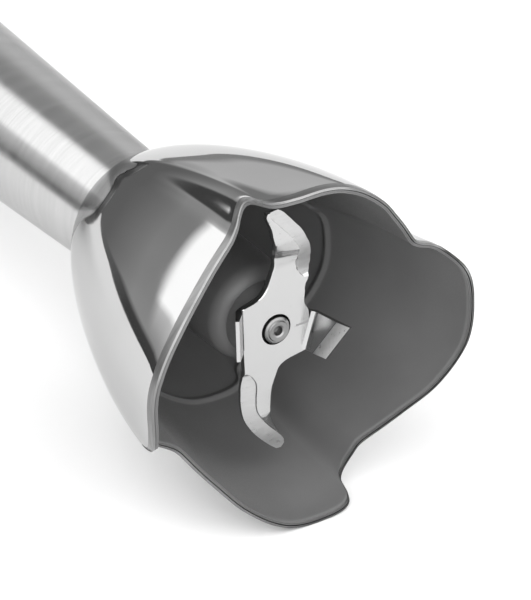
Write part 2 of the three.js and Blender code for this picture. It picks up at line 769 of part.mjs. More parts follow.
function housingScrew({ x, z }) {
  const head = alongY(x, z, -14.2, -12.7, 2.6, 12);
  const thread = alongY(x, z, -13, 9, 1.3, 8);
  const slot = box(x - 2.1, x + 2.1, -15, -13.6, z - 0.4, z + 0.4);
  const crossSlot = box(x - 0.4, x + 0.4, -15, -13.6, z - 2.1, z + 2.1);
  return cut(join([head, thread]), [slot, crossSlot]);
}

// ---- Controls ----

// A plate with rounded corners and chamfered faces, standing on z = 0.
function roundedPlate(length, width, height) {
  const shape = roundedRectangle(length, width, CORNER_RADIUS);
  const chamfer = 0.8;
  const options = {
    depth: height - 2 * chamfer,
    bevelEnabled: true,
    bevelThickness: chamfer,
    bevelSize: chamfer,
    bevelOffset: -chamfer,
    bevelSegments: 1,
    curveSegments: 4,
  };
  return clean(new THREE.ExtrudeGeometry(shape, options).translate(0, 0, chamfer));
}

// A finger button in the top of the handle, with a flange that keeps it in its slot.
function topButton({ x, length, width }) {
  const height = BUTTON_TOP - BUTTON_BASE;
  const cap = roundedPlate(length, width, height).translate(x, 0, BUTTON_BASE);
  const [halfLength, halfWidth] = [length / 2 + 1.4, width / 2 + 1];
  const [z0, z1] = [BUTTON_BASE - 0.9, BUTTON_BASE + 0.6];
  const flange = box(x - halfLength, x + halfLength, -halfWidth, halfWidth, z0, z1);
  return join([cap, flange]);
}

// A side button with two lugs that catch behind the edges of its window.
function releaseButton(side) {
  const { x, length, height } = RELEASE_BUTTON;
  const cap = roundedPlate(length, height, 3.8).translate(0, 0, 26.2);
  const lugs = [-1, 1].flatMap((end) => {
    const neck = box(...sideSpan(end, 4.4, 6.2), -4, 4, 24.4, 27.2);
    const foot = box(...sideSpan(end, 4.4, 7.8), -4, 4, 24.4, 25.7);
    return [neck, foot];
  });
  return clean(join([cap, ...lugs]).rotateX(-side * Math.PI / 2).translate(x, 0, 0));
}

const buttonSpring = ({ x }) => coilSpring(4.9, 2.2, 0.35, 4).translate(x, 0, 17.5);

function releaseSpring(side) {
  const spring = coilSpring(5.4, 2.6, 0.35, 4).translate(0, 0, 20.4);
  return spring.rotateX(-side * Math.PI / 2).translate(RELEASE_BUTTON.x, 0, 0);
}

const circuitBoard = () => box(-374, -319, -16, 16, BOARD_Z, BOARD_Z + 1.6);

function buttonSwitch({ x }) {
  const body = box(x - 5, x + 5, -3.2, 3.2, BOARD_Z + 1.9, 15.6);
  return join([body, box(x - 1, x + 1, -1, 1, 15, 17.1)]);
}

function speedPotentiometer() {
  const body = rod(-383, -376.5, 8, 20);
  return join([body, rod(-386.6, -382.5, 2.5, 16)]).translate(0, 0, DIAL_Z);
}

function speedDial() {
  const points = Array.from({ length: DIAL_FLUTES * 2 }, (_, i) => {
    const angle = (i * Math.PI) / DIAL_FLUTES;
    const radius = i % 2 ? DIAL_RADIUS - 0.7 : DIAL_RADIUS;
    return new THREE.Vector2(radius * Math.cos(angle), radius * Math.sin(angle));
  });
  const knob = prismAlongX(new THREE.Shape(points), -395, -392.4);
  const stem = rod(-392.5, -383.4, 4.9, 20);
  return cut(join([knob, stem]), [rod(-387, -383, 2.8, 16)]).translate(0, 0, DIAL_Z);
}

// ---- Materials ----

const material = (color, roughness, metalness) => () => (
  new THREE.MeshStandardMaterial({ color, roughness, metalness })
);
const polishedSteel = material(0xd4d6d8, 0.08, 1);
const brushedSteel = material(0xb9bbbd, 0.32, 1);
const bladeSteel = material(0xdcdddd, 0.18, 1);
const plainSteel = material(0x9a9da0, 0.4, 1);
const liningPlastic = material(0x58595b, 0.6, 0);
const handlePlastic = material(0x2b2c2e, 0.5, 0);
const buttonPlastic = material(0x8a8c8e, 0.45, 0);
const blackRubber = material(0x18181a, 0.85, 0);
const bronze = material(0x9c7748, 0.45, 1);
const copper = material(0xb06a3a, 0.4, 1);
const ferrite = material(0x3a3a3c, 0.7, 0);
const carbon = material(0x222222, 0.8, 0);
const switchPlastic = material(0x1d1f22, 0.5, 0);
const boardGreen = material(0x1f5a3c, 0.6, 0);
const fanNylon = material(0xcfcfc8, 0.6, 0);

// ---- Assembly ----

const group = new THREE.Group();
group.position.set(OVERALL_LENGTH / 2, 0, AXIS_HEIGHT);

function add(name, geometry, makeMaterial) {
  const mesh = new THREE.Mesh(geometry, makeMaterial());
  mesh.name = name;
  group.add(mesh);
}

function addFoot() {
  add('bell_shell', bellShell(), polishedSteel);
  add('bell_lining', bellLining(), liningPlastic);
  add('foot_tube', footTube(), brushedSteel);
  add('foot_collar', footCollar(), handlePlastic);
  add('foot_o_ring', footORing(), blackRubber);
  add('lower_bush', lowerBush(), bronze);
  add('lip_seal', lipSeal(), blackRubber);
  add('shaft_guide', shaftGuide(), fanNylon);
  add('upper_bearing', upperBearing(), plainSteel);
  add('shaft_circlip', shaftCirclip(), plainSteel);
}

function addCutter() {
  add('cutter_blade', cutterBlade(), bladeSteel);
  add('blade_hub', bladeHub(), plainSteel);
  add('drive_shaft', driveShaft(), plainSteel);
  add('driven_coupling', drivenCoupling(), switchPlastic);
}

function addRotor() {
  add('drive_coupling', driveCoupling(), plainSteel);
  add('rotor_shaft', rotorShaft(), plainSteel);
  add('armature_core', armatureCore(), plainSteel);
  add('winding_front', winding(-255.7, -249.6), copper);
  add('winding_rear', winding(-282.3, -288.4), copper);
  add('commutator', commutator(), copper);
  add('cooling_fan', coolingFan(), fanNylon);
}

function addMotor() {
  add('motor_can', motorCan(), plainSteel);
  add('motor_endbell_front', motorEndbell(-247.5, -243.5), fanNylon);
  add('motor_endbell_rear', motorEndbell(-299.5, -295.5), fanNylon);
  add('motor_bearing_front', motorBearing(-248.5, -243.5), plainSteel);
  add('motor_bearing_rear', motorBearing(-299.5, -294.5), plainSteel);
  add('motor_mount_front', motorMount(-242.7, -240.9, 12), blackRubber);
  add('motor_mount_rear', motorMount(-304.6, -300.3, 15), blackRubber);
  add('field_magnet_upper', fieldMagnet(1), ferrite);
  add('field_magnet_lower', fieldMagnet(-1), ferrite);
  for (const [side, word] of [[1, 'left'], [-1, 'right']]) {
    add(`carbon_brush_${word}`, carbonBrush(side), carbon);
    add(`brush_holder_${word}`, brushHolder(side), bronze);
  }
}

function addHandle() {
  add('housing_left', housingHalf(1), handlePlastic);
  add('housing_right', housingHalf(-1), handlePlastic);
  add('nose_ring', noseRing(), polishedSteel);
  add('latch_ring', latchRing(), plainSteel);
  add('end_cap', endCap(), handlePlastic);
  add('rest_pad', restPad(), blackRubber);
  add('cord_gland', cordGland(), blackRubber);
  for (const screw of SCREWS) add(screw.name, housingScrew(screw), plainSteel);
}

function addControls() {
  add('circuit_board', circuitBoard(), boardGreen);
  add('power_switch', buttonSwitch(POWER_BUTTON), switchPlastic);
  add('turbo_switch', buttonSwitch(TURBO_BUTTON), switchPlastic);
  add('speed_potentiometer', speedPotentiometer(), switchPlastic);
  add('power_button', topButton(POWER_BUTTON), buttonPlastic);
  add('power_spring', buttonSpring(POWER_BUTTON), plainSteel);
  add('turbo_button', topButton(TURBO_BUTTON), buttonPlastic);
  add('turbo_spring', buttonSpring(TURBO_BUTTON), plainSteel);
  add('speed_dial', speedDial(), buttonPlastic);
  for (const [side, word] of [[1, 'left'], [-1, 'right']]) {
    add(`release_button_${word}`, releaseButton(side), buttonPlastic);
    add(`release_spring_${word}`, releaseSpring(side), plainSteel);
  }
}

addFoot();
addCutter();
addRotor();
addMotor();
addHandle();
addControls();

export default group;
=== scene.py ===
import json
import math

import bmesh
import bpy
import numpy as np
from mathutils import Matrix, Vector


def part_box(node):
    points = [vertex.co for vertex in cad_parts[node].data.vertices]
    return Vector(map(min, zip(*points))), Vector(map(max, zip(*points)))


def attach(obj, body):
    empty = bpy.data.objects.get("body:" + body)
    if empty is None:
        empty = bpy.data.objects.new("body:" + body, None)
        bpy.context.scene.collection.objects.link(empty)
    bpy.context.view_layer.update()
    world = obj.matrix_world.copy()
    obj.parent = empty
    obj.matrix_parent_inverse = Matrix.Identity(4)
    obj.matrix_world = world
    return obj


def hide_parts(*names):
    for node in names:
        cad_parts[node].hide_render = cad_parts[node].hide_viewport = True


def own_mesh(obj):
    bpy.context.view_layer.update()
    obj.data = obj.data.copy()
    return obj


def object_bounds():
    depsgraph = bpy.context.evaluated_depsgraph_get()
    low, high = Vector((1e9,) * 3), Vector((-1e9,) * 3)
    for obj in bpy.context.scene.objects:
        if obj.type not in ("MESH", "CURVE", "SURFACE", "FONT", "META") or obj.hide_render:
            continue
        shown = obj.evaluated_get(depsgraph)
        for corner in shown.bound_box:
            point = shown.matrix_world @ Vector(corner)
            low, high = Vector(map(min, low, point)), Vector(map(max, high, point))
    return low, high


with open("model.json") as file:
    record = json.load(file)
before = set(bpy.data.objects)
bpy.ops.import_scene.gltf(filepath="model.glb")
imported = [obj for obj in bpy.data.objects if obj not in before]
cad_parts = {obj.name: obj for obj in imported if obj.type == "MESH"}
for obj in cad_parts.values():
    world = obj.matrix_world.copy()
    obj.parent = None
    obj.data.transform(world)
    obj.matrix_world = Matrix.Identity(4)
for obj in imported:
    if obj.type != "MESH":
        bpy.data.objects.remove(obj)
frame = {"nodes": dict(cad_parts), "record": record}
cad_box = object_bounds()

# ---- The long axis ----
# Sizes are in millimetres along and around the spin axis, as in the CAD: zero is the plane of the bell's lobe
# tips, the motor is at negative x. place() turns them into metres in the row frame.
MM = 0.001
TIP_X = cad_box[1].x
AXIS_Z = (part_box("drive_shaft")[0].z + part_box("drive_shaft")[1].z) / 2


def place(points):
    """Millimetre points on the long axis as metre points in the row frame."""
    return np.asarray(points, float) * MM + np.array([TIP_X, 0, AXIS_Z])


def low_x(node):
    """A CAD node's end nearest the motor, on the long axis."""
    return (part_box(node)[0].x - TIP_X) / MM


def high_x(node):
    """A CAD node's end nearest the bell's mouth, on the long axis."""
    return (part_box(node)[1].x - TIP_X) / MM


def outer_radius(node):
    return (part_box(node)[1].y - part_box(node)[0].y) / 2 / MM


def node_middle(node):
    low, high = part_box(node)
    middle = (low + high) / 2
    return (middle.x - TIP_X) / MM, middle.y / MM, (middle.z - AXIS_Z) / MM


def node_size(node):
    low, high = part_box(node)
    return (high - low) / MM


# ---- Curves ----

def catmull(before, start, end, after, f):
    """Catmull-Rom blend between start and end."""
    return start + 0.5 * f * (end - before + f * (2 * before - 5 * start + 4 * end - after
                                                  + f * (3 * (start - end) + after - before)))


def smooth_rows(rows, steps):
    """A list of rows resampled on a Catmull-Rom curve, steps to each span."""
    rows = np.array(rows, float)
    padded = np.vstack([2 * rows[0] - rows[1], rows, 2 * rows[-1] - rows[-2]])
    out = []
    for i in range(1, len(rows)):
        for f in np.arange(steps) / steps:
            out.append(catmull(padded[i - 1], padded[i], padded[i + 1], padded[i + 2], f))
    return np.array(out + [rows[-1]])


def smoothstep(x, low, high):
    t = np.clip((x - low) / (high - low), 0, 1)
    return t * t * (3 - 2 * t)


def quarter_turn(steps):
    """Angles from zero to a quarter turn."""
    return [f * math.pi / 2 for f in np.linspace(0, 1, steps + 1)]


# ---- Mesh building ----

def shade(mesh, sharp):
    """Smooth shading that creases where faces meet at more than sharp degrees."""
    mesh.shade_smooth()
    mesh.set_sharp_from_angle(angle=math.radians(sharp))


def new_mesh(name, points, faces, materials, face_slots=None, sharp=40):
    mesh = bpy.data.meshes.new(name)
    mesh.from_pydata([tuple(p) for p in place(points)], [], [tuple(f) for f in faces])
    outwards = bmesh.new()
    outwards.from_mesh(mesh)
    bmesh.ops.recalc_face_normals(outwards, faces=outwards.faces)
    outwards.to_mesh(mesh)
    outwards.free()
    for material in materials:
        mesh.materials.append(material)
    if face_slots is not None:
        mesh.polygons.foreach_set("material_index", np.asarray(face_slots, int))
    shade(mesh, sharp)
    piece = bpy.data.objects.new(name, mesh)
    bpy.context.scene.collection.objects.link(piece)
    return piece


def belong(piece, body, slot, *nodes):
    """The piece rides on a body and stands for CAD nodes, which it hides. The slot is not used."""
    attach(piece, body)
    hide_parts(*nodes)


def grid_faces(rings, count, closed):
    """Quads between rings of points; closed joins the last ring to the first, else the ends get caps."""
    faces = []
    for i in range(rings if closed else rings - 1):
        j = (i + 1) % rings
        for k in range(count):
            n = (k + 1) % count
            faces.append((i * count + k, i * count + n, j * count + n, j * count + k))
    if not closed:
        faces.append(tuple(range(count)))
        faces.append(tuple(range((rings - 1) * count, rings * count)))
    return faces


def skin(name, rings, materials, closed=True, face_slots=None, sharp=40):
    rings = np.asarray(rings, float)
    faces = grid_faces(len(rings), rings.shape[1], closed)
    return new_mesh(name, rings.reshape(-1, 3), faces, materials, face_slots, sharp)


def turned(name, profile, materials, segments=128, centre=(0, 0), sharp=40):
    """A solid of revolution about the long axis from [x, radius] points that never touch the axis."""
    angles = np.arange(segments) * 2 * math.pi / segments
    rings = [
        np.stack([np.full(segments, x), centre[0] + r * np.cos(angles), centre[1] + r * np.sin(angles)], 1)
        for x, r in profile
    ]
    return skin(name, rings, materials, sharp=sharp)


def rounded(profile, radius, steps=4):
    """A closed [x, radius] outline with each corner turned into an arc-like curve of the given radius."""
    profile = np.array(profile, float)
    out = []
    for i, corner in enumerate(profile):
        before = profile[i - 1] - corner
        after = profile[(i + 1) % len(profile)] - corner
        reach = min(radius, 0.45 * np.linalg.norm(before), 0.45 * np.linalg.norm(after))
        a = corner + reach * before / np.linalg.norm(before)
        b = corner + reach * after / np.linalg.norm(after)
        for f in np.linspace(0, 1, steps + 1):
            out.append((1 - f) ** 2 * a + 2 * f * (1 - f) * corner + f * f * b)
    return out


def combine(piece, operation, others, sharp):
    """Cuts the others out of the piece or unites them with it, as the operation says, and removes them."""
    for other in others:
        modifier = piece.modifiers.new("combine", "BOOLEAN")
        modifier.operation = operation
        modifier.solver = "EXACT"
        modifier.object = other
    depsgraph = bpy.context.evaluated_depsgraph_get()
    combined = bpy.data.meshes.new_from_object(piece.evaluated_get(depsgraph))
    spent = [piece.data] + [other.data for other in others]
    piece.modifiers.clear()
    piece.data = combined
    for other in others:
        bpy.data.objects.remove(other)
    for mesh in spent:
        bpy.data.meshes.remove(mesh)
    shade(combined, sharp)


def cut_away(piece, tools, sharp=35):
    combine(piece, "DIFFERENCE", tools, sharp)


def join(piece, others, sharp):
    combine(piece, "UNION", others, sharp)


def box_tool(low, high):
    """A box between two corners, to cut away or to join."""
    corners = [(x, y, z) for x in (low[0], high[0]) for y in (low[1], high[1]) for z in (low[2], high[2])]
    faces = [(0, 1, 3, 2), (4, 6, 7, 5), (0, 4, 5, 1), (2, 3, 7, 6), (0, 2, 6, 4), (1, 5, 7, 3)]
    return new_mesh("tool", corners, faces, [])


def rounded_rectangle(length, width, radius, steps=6):
    """Outline points of a rectangle with round corners, centred on zero."""
    points = []
    for corner, (sx, sy) in enumerate([(1, 1), (-1, 1), (-1, -1), (1, -1)]):
        for f in np.linspace(0, 1, steps + 1):
            angle = (corner + f) * math.pi / 2
            points.append((sx * (length / 2 - radius) + radius * math.cos(angle),
                           sy * (width / 2 - radius) + radius * math.sin(angle)))
    return np.array(points)


def slot_tool(x, length, width, radius, direction, low, high):
    """A rounded slot cutter centred at x, reaching from low to high "up", "left" or "right" of the axis."""
    outline = rounded_rectangle(length, width, radius)
    return skin("tool", [slot_ring(x, outline, direction, d) for d in (low, high)], [], closed=False)


def slot_ring(x, outline, direction, distance):
    """The outline laid out at a distance from the axis along a direction; its first axis runs along x."""
    along, across = outline[:, 0] + x, outline[:, 1]
    if direction == "up":
        return np.stack([along, across, np.full(len(along), distance)], 1)
    side = 1 if direction == "left" else -1
    return np.stack([along, np.full(len(along), side * distance), across], 1)


def rod_tool(axis, centre, low, high, radius, segments=32):
    """A round cutter along "x" or "y" through a centre given in the other two coordinates."""
    angles = np.arange(segments) * 2 * math.pi / segments
    a, b = centre[0] + radius * np.cos(angles), centre[1] + radius * np.sin(angles)
    rings = []
    for d in (low, high):
        full = np.full(segments, d)
        rings.append(np.stack([full, a, b] if axis == "x" else [a, full, b], 1))
    return skin("tool", rings, [], closed=False)


# ---- Materials ----

# Most of a noise's values lie between these two.
NOISE_LOW = 0.3
NOISE_HIGH = 0.7
# How far roughness varies to each side, and a moulded part's grey, as a share.
ROUGHNESS_SPREAD = 0.06
CLOUDING = 0.12


class Surface:
    """A Principled material with procedural colour, roughness and bump in the object's own coordinates."""

    def __init__(self, name, colour, roughness, metallic=0.0, **sockets):
        self.material = bpy.data.materials.new(name)
        self.material.use_nodes = True
        self.nodes = self.material.node_tree.nodes
        self.links = self.material.node_tree.links
        self.shader = self.nodes["Principled BSDF"]
        self.coordinates = self.nodes.new("ShaderNodeTexCoord").outputs["Object"]
        self.shader.inputs["Base Color"].default_value = (*colour, 1)
        self.shader.inputs["Roughness"].default_value = roughness
        self.shader.inputs["Metallic"].default_value = metallic
        self.last_bump = None
        for socket, value in sockets.items():
            self.shader.inputs[socket.replace("_", " ")].default_value = value

    def noise(self, scale, stretch=(1, 1, 1), detail=3.0, rough=0.5):
        """Noise with its feature size set by scale (per metre) and stretched along the axes."""
        mapping = self.nodes.new("ShaderNodeMapping")
        mapping.inputs["Scale"].default_value = stretch
        self.links.new(self.coordinates, mapping.inputs["Vector"])
        noise = self.nodes.new("ShaderNodeTexNoise")
        noise.inputs["Scale"].default_value = scale
        noise.inputs["Detail"].default_value = detail
        noise.inputs["Roughness"].default_value = rough
        self.links.new(mapping.outputs["Vector"], noise.inputs["Vector"])
        return noise.outputs["Fac"]

    def mapped(self, value, low, high, out_low, out_high):
        node = self.nodes.new("ShaderNodeMapRange")
        ends = {"From Min": low, "From Max": high, "To Min": out_low, "To Max": out_high}
        for name, number in ends.items():
            node.inputs[name].default_value = number
        self.links.new(value, node.inputs["Value"])
        return node.outputs["Result"]

    def tint(self, value, dark, light, low=NOISE_LOW, high=NOISE_HIGH):
        """Colour from dark to light as value goes from low to high."""
        mix = self.nodes.new("ShaderNodeMix")
        mix.data_type = "RGBA"
        mix.inputs["A"].default_value = (*dark, 1)
        mix.inputs["B"].default_value = (*light, 1)
        self.links.new(self.mapped(value, low, high, 0, 1), mix.inputs["Factor"])
        self.links.new(mix.outputs["Result"], self.shader.inputs["Base Color"])

    def rough(self, value, finest, coarsest, low=NOISE_LOW, high=NOISE_HIGH):
        """Roughness from finest to coarsest as value goes from low to high."""
        self.links.new(self.mapped(value, low, high, finest, coarsest), self.shader.inputs["Roughness"])

    def bump(self, value, depth, strength):
        """Adds relief of the given depth in millimetres."""
        node = self.nodes.new("ShaderNodeBump")
        node.inputs["Strength"].default_value = strength
        node.inputs["Distance"].default_value = depth * MM
        self.links.new(value, node.inputs["Height"])
        if self.last_bump is not None:
            self.links.new(self.last_bump, node.inputs["Normal"])
        self.last_bump = node.outputs["Normal"]
        self.links.new(self.last_bump, self.shader.inputs["Normal"])


def grey(value):
    return (value, value, value)


def polished_steel():
    """A mirror with slight waves and faint turning lines."""
    surface = Surface("polished_steel", grey(0.53), 0.05, 1.0, Specular_Tint=(*grey(0.8), 1))
    surface.rough(surface.noise(90, detail=4), 0.025, 0.075, low=0.35)
    surface.tint(surface.noise(40), grey(0.51), grey(0.55))
    surface.bump(surface.noise(55, detail=1), 0.02, 0.35)
    surface.bump(surface.noise(1800, (1, 0.1, 0.1), detail=2), 0.002, 0.25)
    return surface.material


def brushed_steel():
    """Fine lines round the long axis."""
    surface = Surface("brushed_steel", grey(0.53), 0.24, 1.0, Anisotropic=1.0, Anisotropic_Rotation=0.25,
                      Specular_Tint=(*grey(0.8), 1))
    tangent = surface.nodes.new("ShaderNodeTangent")
    tangent.direction_type = "RADIAL"
    tangent.axis = "X"
    surface.links.new(tangent.outputs["Tangent"], surface.shader.inputs["Tangent"])
    lines = surface.noise(1500, (1, 0.035, 0.035), detail=6, rough=0.7)
    surface.tint(lines, grey(0.50), grey(0.56))
    surface.rough(surface.noise(260, (1, 0.06, 0.06)), 0.21, 0.27)
    surface.bump(lines, 0.012, 0.35)
    return surface.material


def blade_steel():
    """Rolled sheet with small dark specks."""
    surface = Surface("blade_steel", grey(0.5), 0.14, 1.0)
    rolling = surface.noise(420, (1, 1, 0.08), detail=5, rough=0.6)
    surface.tint(surface.noise(1700, detail=2), grey(0.38), grey(0.52), 0.24, 0.30)
    surface.rough(rolling, 0.08, 0.2)
    surface.bump(rolling, 0.006, 0.35)
    surface.bump(surface.noise(70, detail=1), 0.03, 0.3)
    return surface.material


def ground_steel():
    """The blade's ground strips, with fine grinding lines."""
    surface = Surface("ground_steel", grey(0.5), 0.3, 1.0)
    lines = surface.noise(2600, (1, 0.12, 0.5), detail=4, rough=0.65)
    surface.tint(lines, grey(0.46), grey(0.52))
    surface.rough(lines, 0.26, 0.38)
    surface.bump(lines, 0.004, 0.4)
    return surface.material


def plain_steel():
    """Darker steel with turning lines round the long axis."""
    surface = Surface("plain_steel", grey(0.3), 0.3, 1.0)
    lines = surface.noise(1100, (1, 0.1, 0.1), detail=4)
    surface.tint(lines, grey(0.19), grey(0.27))
    surface.rough(surface.noise(160), 0.26, 0.42)
    surface.bump(lines, 0.006, 0.3)
    return surface.material


def moulded(name, value, roughness, grain=0.012):
    """Moulded plastic or rubber: fine spark-eroded grain and faint clouding."""
    surface = Surface(name, grey(value), roughness)
    fine = surface.noise(3200, detail=2)
    surface.tint(surface.noise(45), grey(value * (1 - CLOUDING)), grey(value * (1 + CLOUDING)))
    surface.rough(fine, roughness - ROUGHNESS_SPREAD, roughness + ROUGHNESS_SPREAD)
    surface.bump(fine, grain, 0.5)
    return surface.material


def coloured(name, dark, light, roughness, metallic, scale=300):
    """A plainly mottled inner part: nylon, bronze, copper, ferrite or board."""
    surface = Surface(name, light, roughness, metallic)
    mottle = surface.noise(scale, detail=4)
    surface.tint(mottle, dark, light)
    surface.rough(mottle, roughness - ROUGHNESS_SPREAD, roughness + ROUGHNESS_SPREAD)
    surface.bump(mottle, 0.01, 0.3)
    return surface.material


POLISHED = polished_steel()
BRUSHED = brushed_steel()
BLADE = blade_steel()
GROUND = ground_steel()
STEEL = plain_steel()
LINING = moulded("lining_plastic", 0.12, 0.5)
# The lining's rim edge: the lining plastic painted a little darker, which is painted shade on the edge.
LINING_EDGE_PAINTED_SHADE = moulded("lining_edge_painted_shade", 0.1, 0.5)
HANDLE = moulded("handle_plastic", 0.028, 0.45)
BUTTON = moulded("button_plastic", 0.25, 0.4)
INNER = moulded("inner_plastic", 0.015, 0.5)
NYLON = coloured("nylon", (0.55, 0.55, 0.5), (0.65, 0.65, 0.6), 0.5, 0.0)
RUBBER = moulded("rubber", 0.012, 0.75, grain=0.03)
BRONZE = coloured("bronze", (0.30, 0.18, 0.08), (0.42, 0.27, 0.12), 0.4, 1.0)
COPPER = coloured("copper", (0.40, 0.16, 0.07), (0.52, 0.24, 0.12), 0.35, 1.0, 900)
FERRITE = coloured("ferrite", grey(0.02), grey(0.04), 0.6, 0.0)
BOARD = coloured("board", (0.01, 0.08, 0.035), (0.02, 0.12, 0.05), 0.4, 0.0, 500)

SLOT_MATERIALS = {
    "polished_steel": POLISHED,
    "brushed_steel": BRUSHED,
    "blade_steel": BLADE,
    "plain_steel": STEEL,
    "lining_plastic": LINING,
    "handle_plastic": HANDLE,
    "button_plastic": BUTTON,
    "inner_plastic": INNER,
    "nylon": NYLON,
    "rubber": RUBBER,
    "bronze": BRONZE,
    "copper": COPPER,
    "ferrite": FERRITE,
    "board": BOARD,
}


def dress_cad_nodes():
    """Every CAD node takes the procedural material of its slot."""
    for subpart in frame["record"]["subparts"]:
        mesh = frame["nodes"][subpart["node"]].data
        mesh.materials.clear()
        mesh.materials.append(SLOT_MATERIALS[subpart["material_slot"]])


# ---- The bell ----

NECK_X = low_x("bell_shell")
DOME_LENGTH = 63.0
NECK_RADIUS = 12.4
BELL_RISE = 20.3
# The powers that shape the dome's profile, and the one by which the lobes fade towards the neck.
DOME_FULLNESS = 1.48
DOME_ROUNDNESS = 0.72
LOBE_FADE = 1.05
BELL_WALL = 0.5
BELL_EDGE_ROUND = 0.18
LINING_GAP = 0.12
LINING_WALL = 0.6
LINING_EDGE_ROUND = 0.3
# One lobe of the rim: angle in degrees, radius, set-back behind the tip plane.
RIM_LOBE = np.array([
    [5, 35.2, -0.1],
    [14, 35.4, 1.6],
    [18, 34.5, 7.6],
    [25, 31.0, 7.2],
    [32, 29.7, 6.4],
    [48, 30.1, 3.9],
    [63, 32.1, 1.4],
    [81, 34.8, -0.1],
])
LOBES = 4
STEPS_ROUND = 12
# The lining's raised ring.
BEAD_X = -38.6
BEAD_HEIGHT = 0.55
BEAD_HALF_WIDTH = 0.55
# The lining's hub round the shaft, and the spigot behind it in the tube.
HUB_FRONT = high_x("lip_seal") + 0.2
HUB_FLOOR = NECK_X + 9.5
HUB_RADIUS = outer_radius("blade_hub") + 3.6
HUB_SHOULDER = 3.4
# The flare at the hub's foot: how far ahead of the floor, and how much wider than the hub.
HUB_FLARE = [(2.4, 2.2), (3.2, 1.1), (5.5, 0.6)]
NOSE_RADIUS = outer_radius("blade_hub") + 0.4
NOSE_SETBACK = 0.9
SEAL_STEP = 0.12
SPIGOT_RADIUS = 10.8


def rim_points(u):
    """The rim at positions u, counted in control points: angle in radians, radius, set-back."""
    index = np.floor(u).astype(int)
    f = (u - index)[:, None]

    def control(i):
        rows = RIM_LOBE[i % len(RIM_LOBE)].copy()
        rows[:, 0] = np.radians(rows[:, 0] + 90 * (i // len(RIM_LOBE)))
        return rows

    rows = catmull(control(index - 1), control(index), control(index + 1), control(index + 2), f)
    rows[:, 2] = np.maximum(rows[:, 2], 0)
    return rows


def mean_dome_radius(t):
    return NECK_RADIUS + BELL_RISE * (1 - np.clip(t, 0, 1) ** DOME_FULLNESS) ** DOME_ROUNDNESS


RIM_U = np.arange(0, LOBES * len(RIM_LOBE), 1 / STEPS_ROUND)
RIM = rim_points(RIM_U)
# The lobes reach as far as the part's own box and no further.
RIM[:, 1] *= outer_radius("bell_shell") / np.max(np.abs(RIM[:, 1] * np.cos(RIM[:, 0])))


def bell_surface(v):
    """x and radius of the bell's outer surface round the rim at depth v, from the rim (0) to the neck (1)."""
    rim_t = (RIM[:, 2] + NECK_X + DOME_LENGTH) / DOME_LENGTH
    t = rim_t + (1 - rim_t) * v
    lobe = (RIM[:, 1] - mean_dome_radius(rim_t)) * (1 - v) ** LOBE_FADE
    return NECK_X + DOME_LENGTH * (1 - t), mean_dome_radius(t) + lobe


def ring_of(x, radius):
    return np.stack([x, radius * np.cos(RIM[:, 0]), radius * np.sin(RIM[:, 0])], 1)


def bell_ring(v, inset, forward=0.0):
    """The surface moved inwards by inset, measured square to the wall, and forward along x."""
    step = 0.01
    x, radius = bell_surface(v)
    near_x, near_r = bell_surface(max(v - step, 0))
    far_x, far_r = bell_surface(min(v + step, 1))
    dx, dr = near_x - far_x, near_r - far_r
    length = np.hypot(dx, dr)
    if v == 0:
        return ring_of(x + forward, radius - inset * length / dx)
    return ring_of(x + inset * dr / length + forward, radius - inset * dx / length)


def round_ring(x, radius):
    return ring_of(np.full(len(RIM), float(x)), np.full(len(RIM), float(radius)))


def dome_steps(last, count):
    """Depths from just behind the rim to the neck, closer together at the neck."""
    return last * (1 - (1 - np.arange(1, count + 1) / count) ** 1.6)


def rim_edge(inner_inset, outer_inset, rounding):
    """Rings that carry the rim's edge from its outer face round to its inner face."""
    rings = []
    for angle in quarter_turn(4):
        inset = outer_inset + rounding * (1 - math.sin(angle))
        rings.append(bell_ring(0, inset, rounding * (math.cos(angle) - 1)))
    for angle in quarter_turn(4):
        drop = rounding * (1 - math.cos(angle))
        rings.append(bell_ring(0, inner_inset - drop, -drop))
    return rings


def edge_slots(outer, edge, rings):
    """Face slots that give the rim's edge the second material and the other rings the first."""
    slots = np.zeros((len(rings), len(RIM)), int)
    slots[len(outer) - 1:len(outer) + len(edge)] = 1
    return slots.ravel()


def build_bell():
    outer = [bell_ring(v, 0) for v in dome_steps(1, 56)[::-1]]
    edge = rim_edge(BELL_WALL, 0, BELL_EDGE_ROUND)
    inner = [bell_ring(v, BELL_WALL) for v in dome_steps(0.985, 24)]
    collar = [round_ring(NECK_X + BELL_WALL, NECK_RADIUS)]
    rings = outer + edge + inner + collar
    slots = edge_slots(outer, edge, rings)
    piece = skin("bell_steel", rings, [POLISHED, STEEL], face_slots=slots, sharp=60)
    belong(piece, "foot", "polished_steel", "bell_shell")


def hub_rings():
    """The outside of the hub, from its flared foot to its rounded shoulder."""
    rings = [round_ring(HUB_FLOOR + ahead, HUB_RADIUS + wider) for ahead, wider in HUB_FLARE]
    for angle in quarter_turn(9):
        x = HUB_FRONT - HUB_SHOULDER * (1 - math.sin(angle))
        rings.append(round_ring(x, HUB_RADIUS - HUB_SHOULDER * (1 - math.cos(angle))))
    return rings


def bore_rings():
    """The hub's nose close round the blade's boss, the bore back to the tail, and the spigot's outside."""
    nose = BLADE_FRONT_X - BLADE_THICKNESS - NOSE_SETBACK
    step = HUB_FRONT - SEAL_STEP
    bore = outer_radius("lip_seal") + 0.3
    tail = low_x("bell_lining")
    profile = [(HUB_FRONT, NOSE_RADIUS + 0.9), (nose, NOSE_RADIUS + 0.6), (nose, NOSE_RADIUS),
               (step, NOSE_RADIUS), (step, bore), (tail, bore), (tail, SPIGOT_RADIUS),
               (NECK_X + 1.6, SPIGOT_RADIUS)]
    return [round_ring(x, radius) for x, radius in profile]


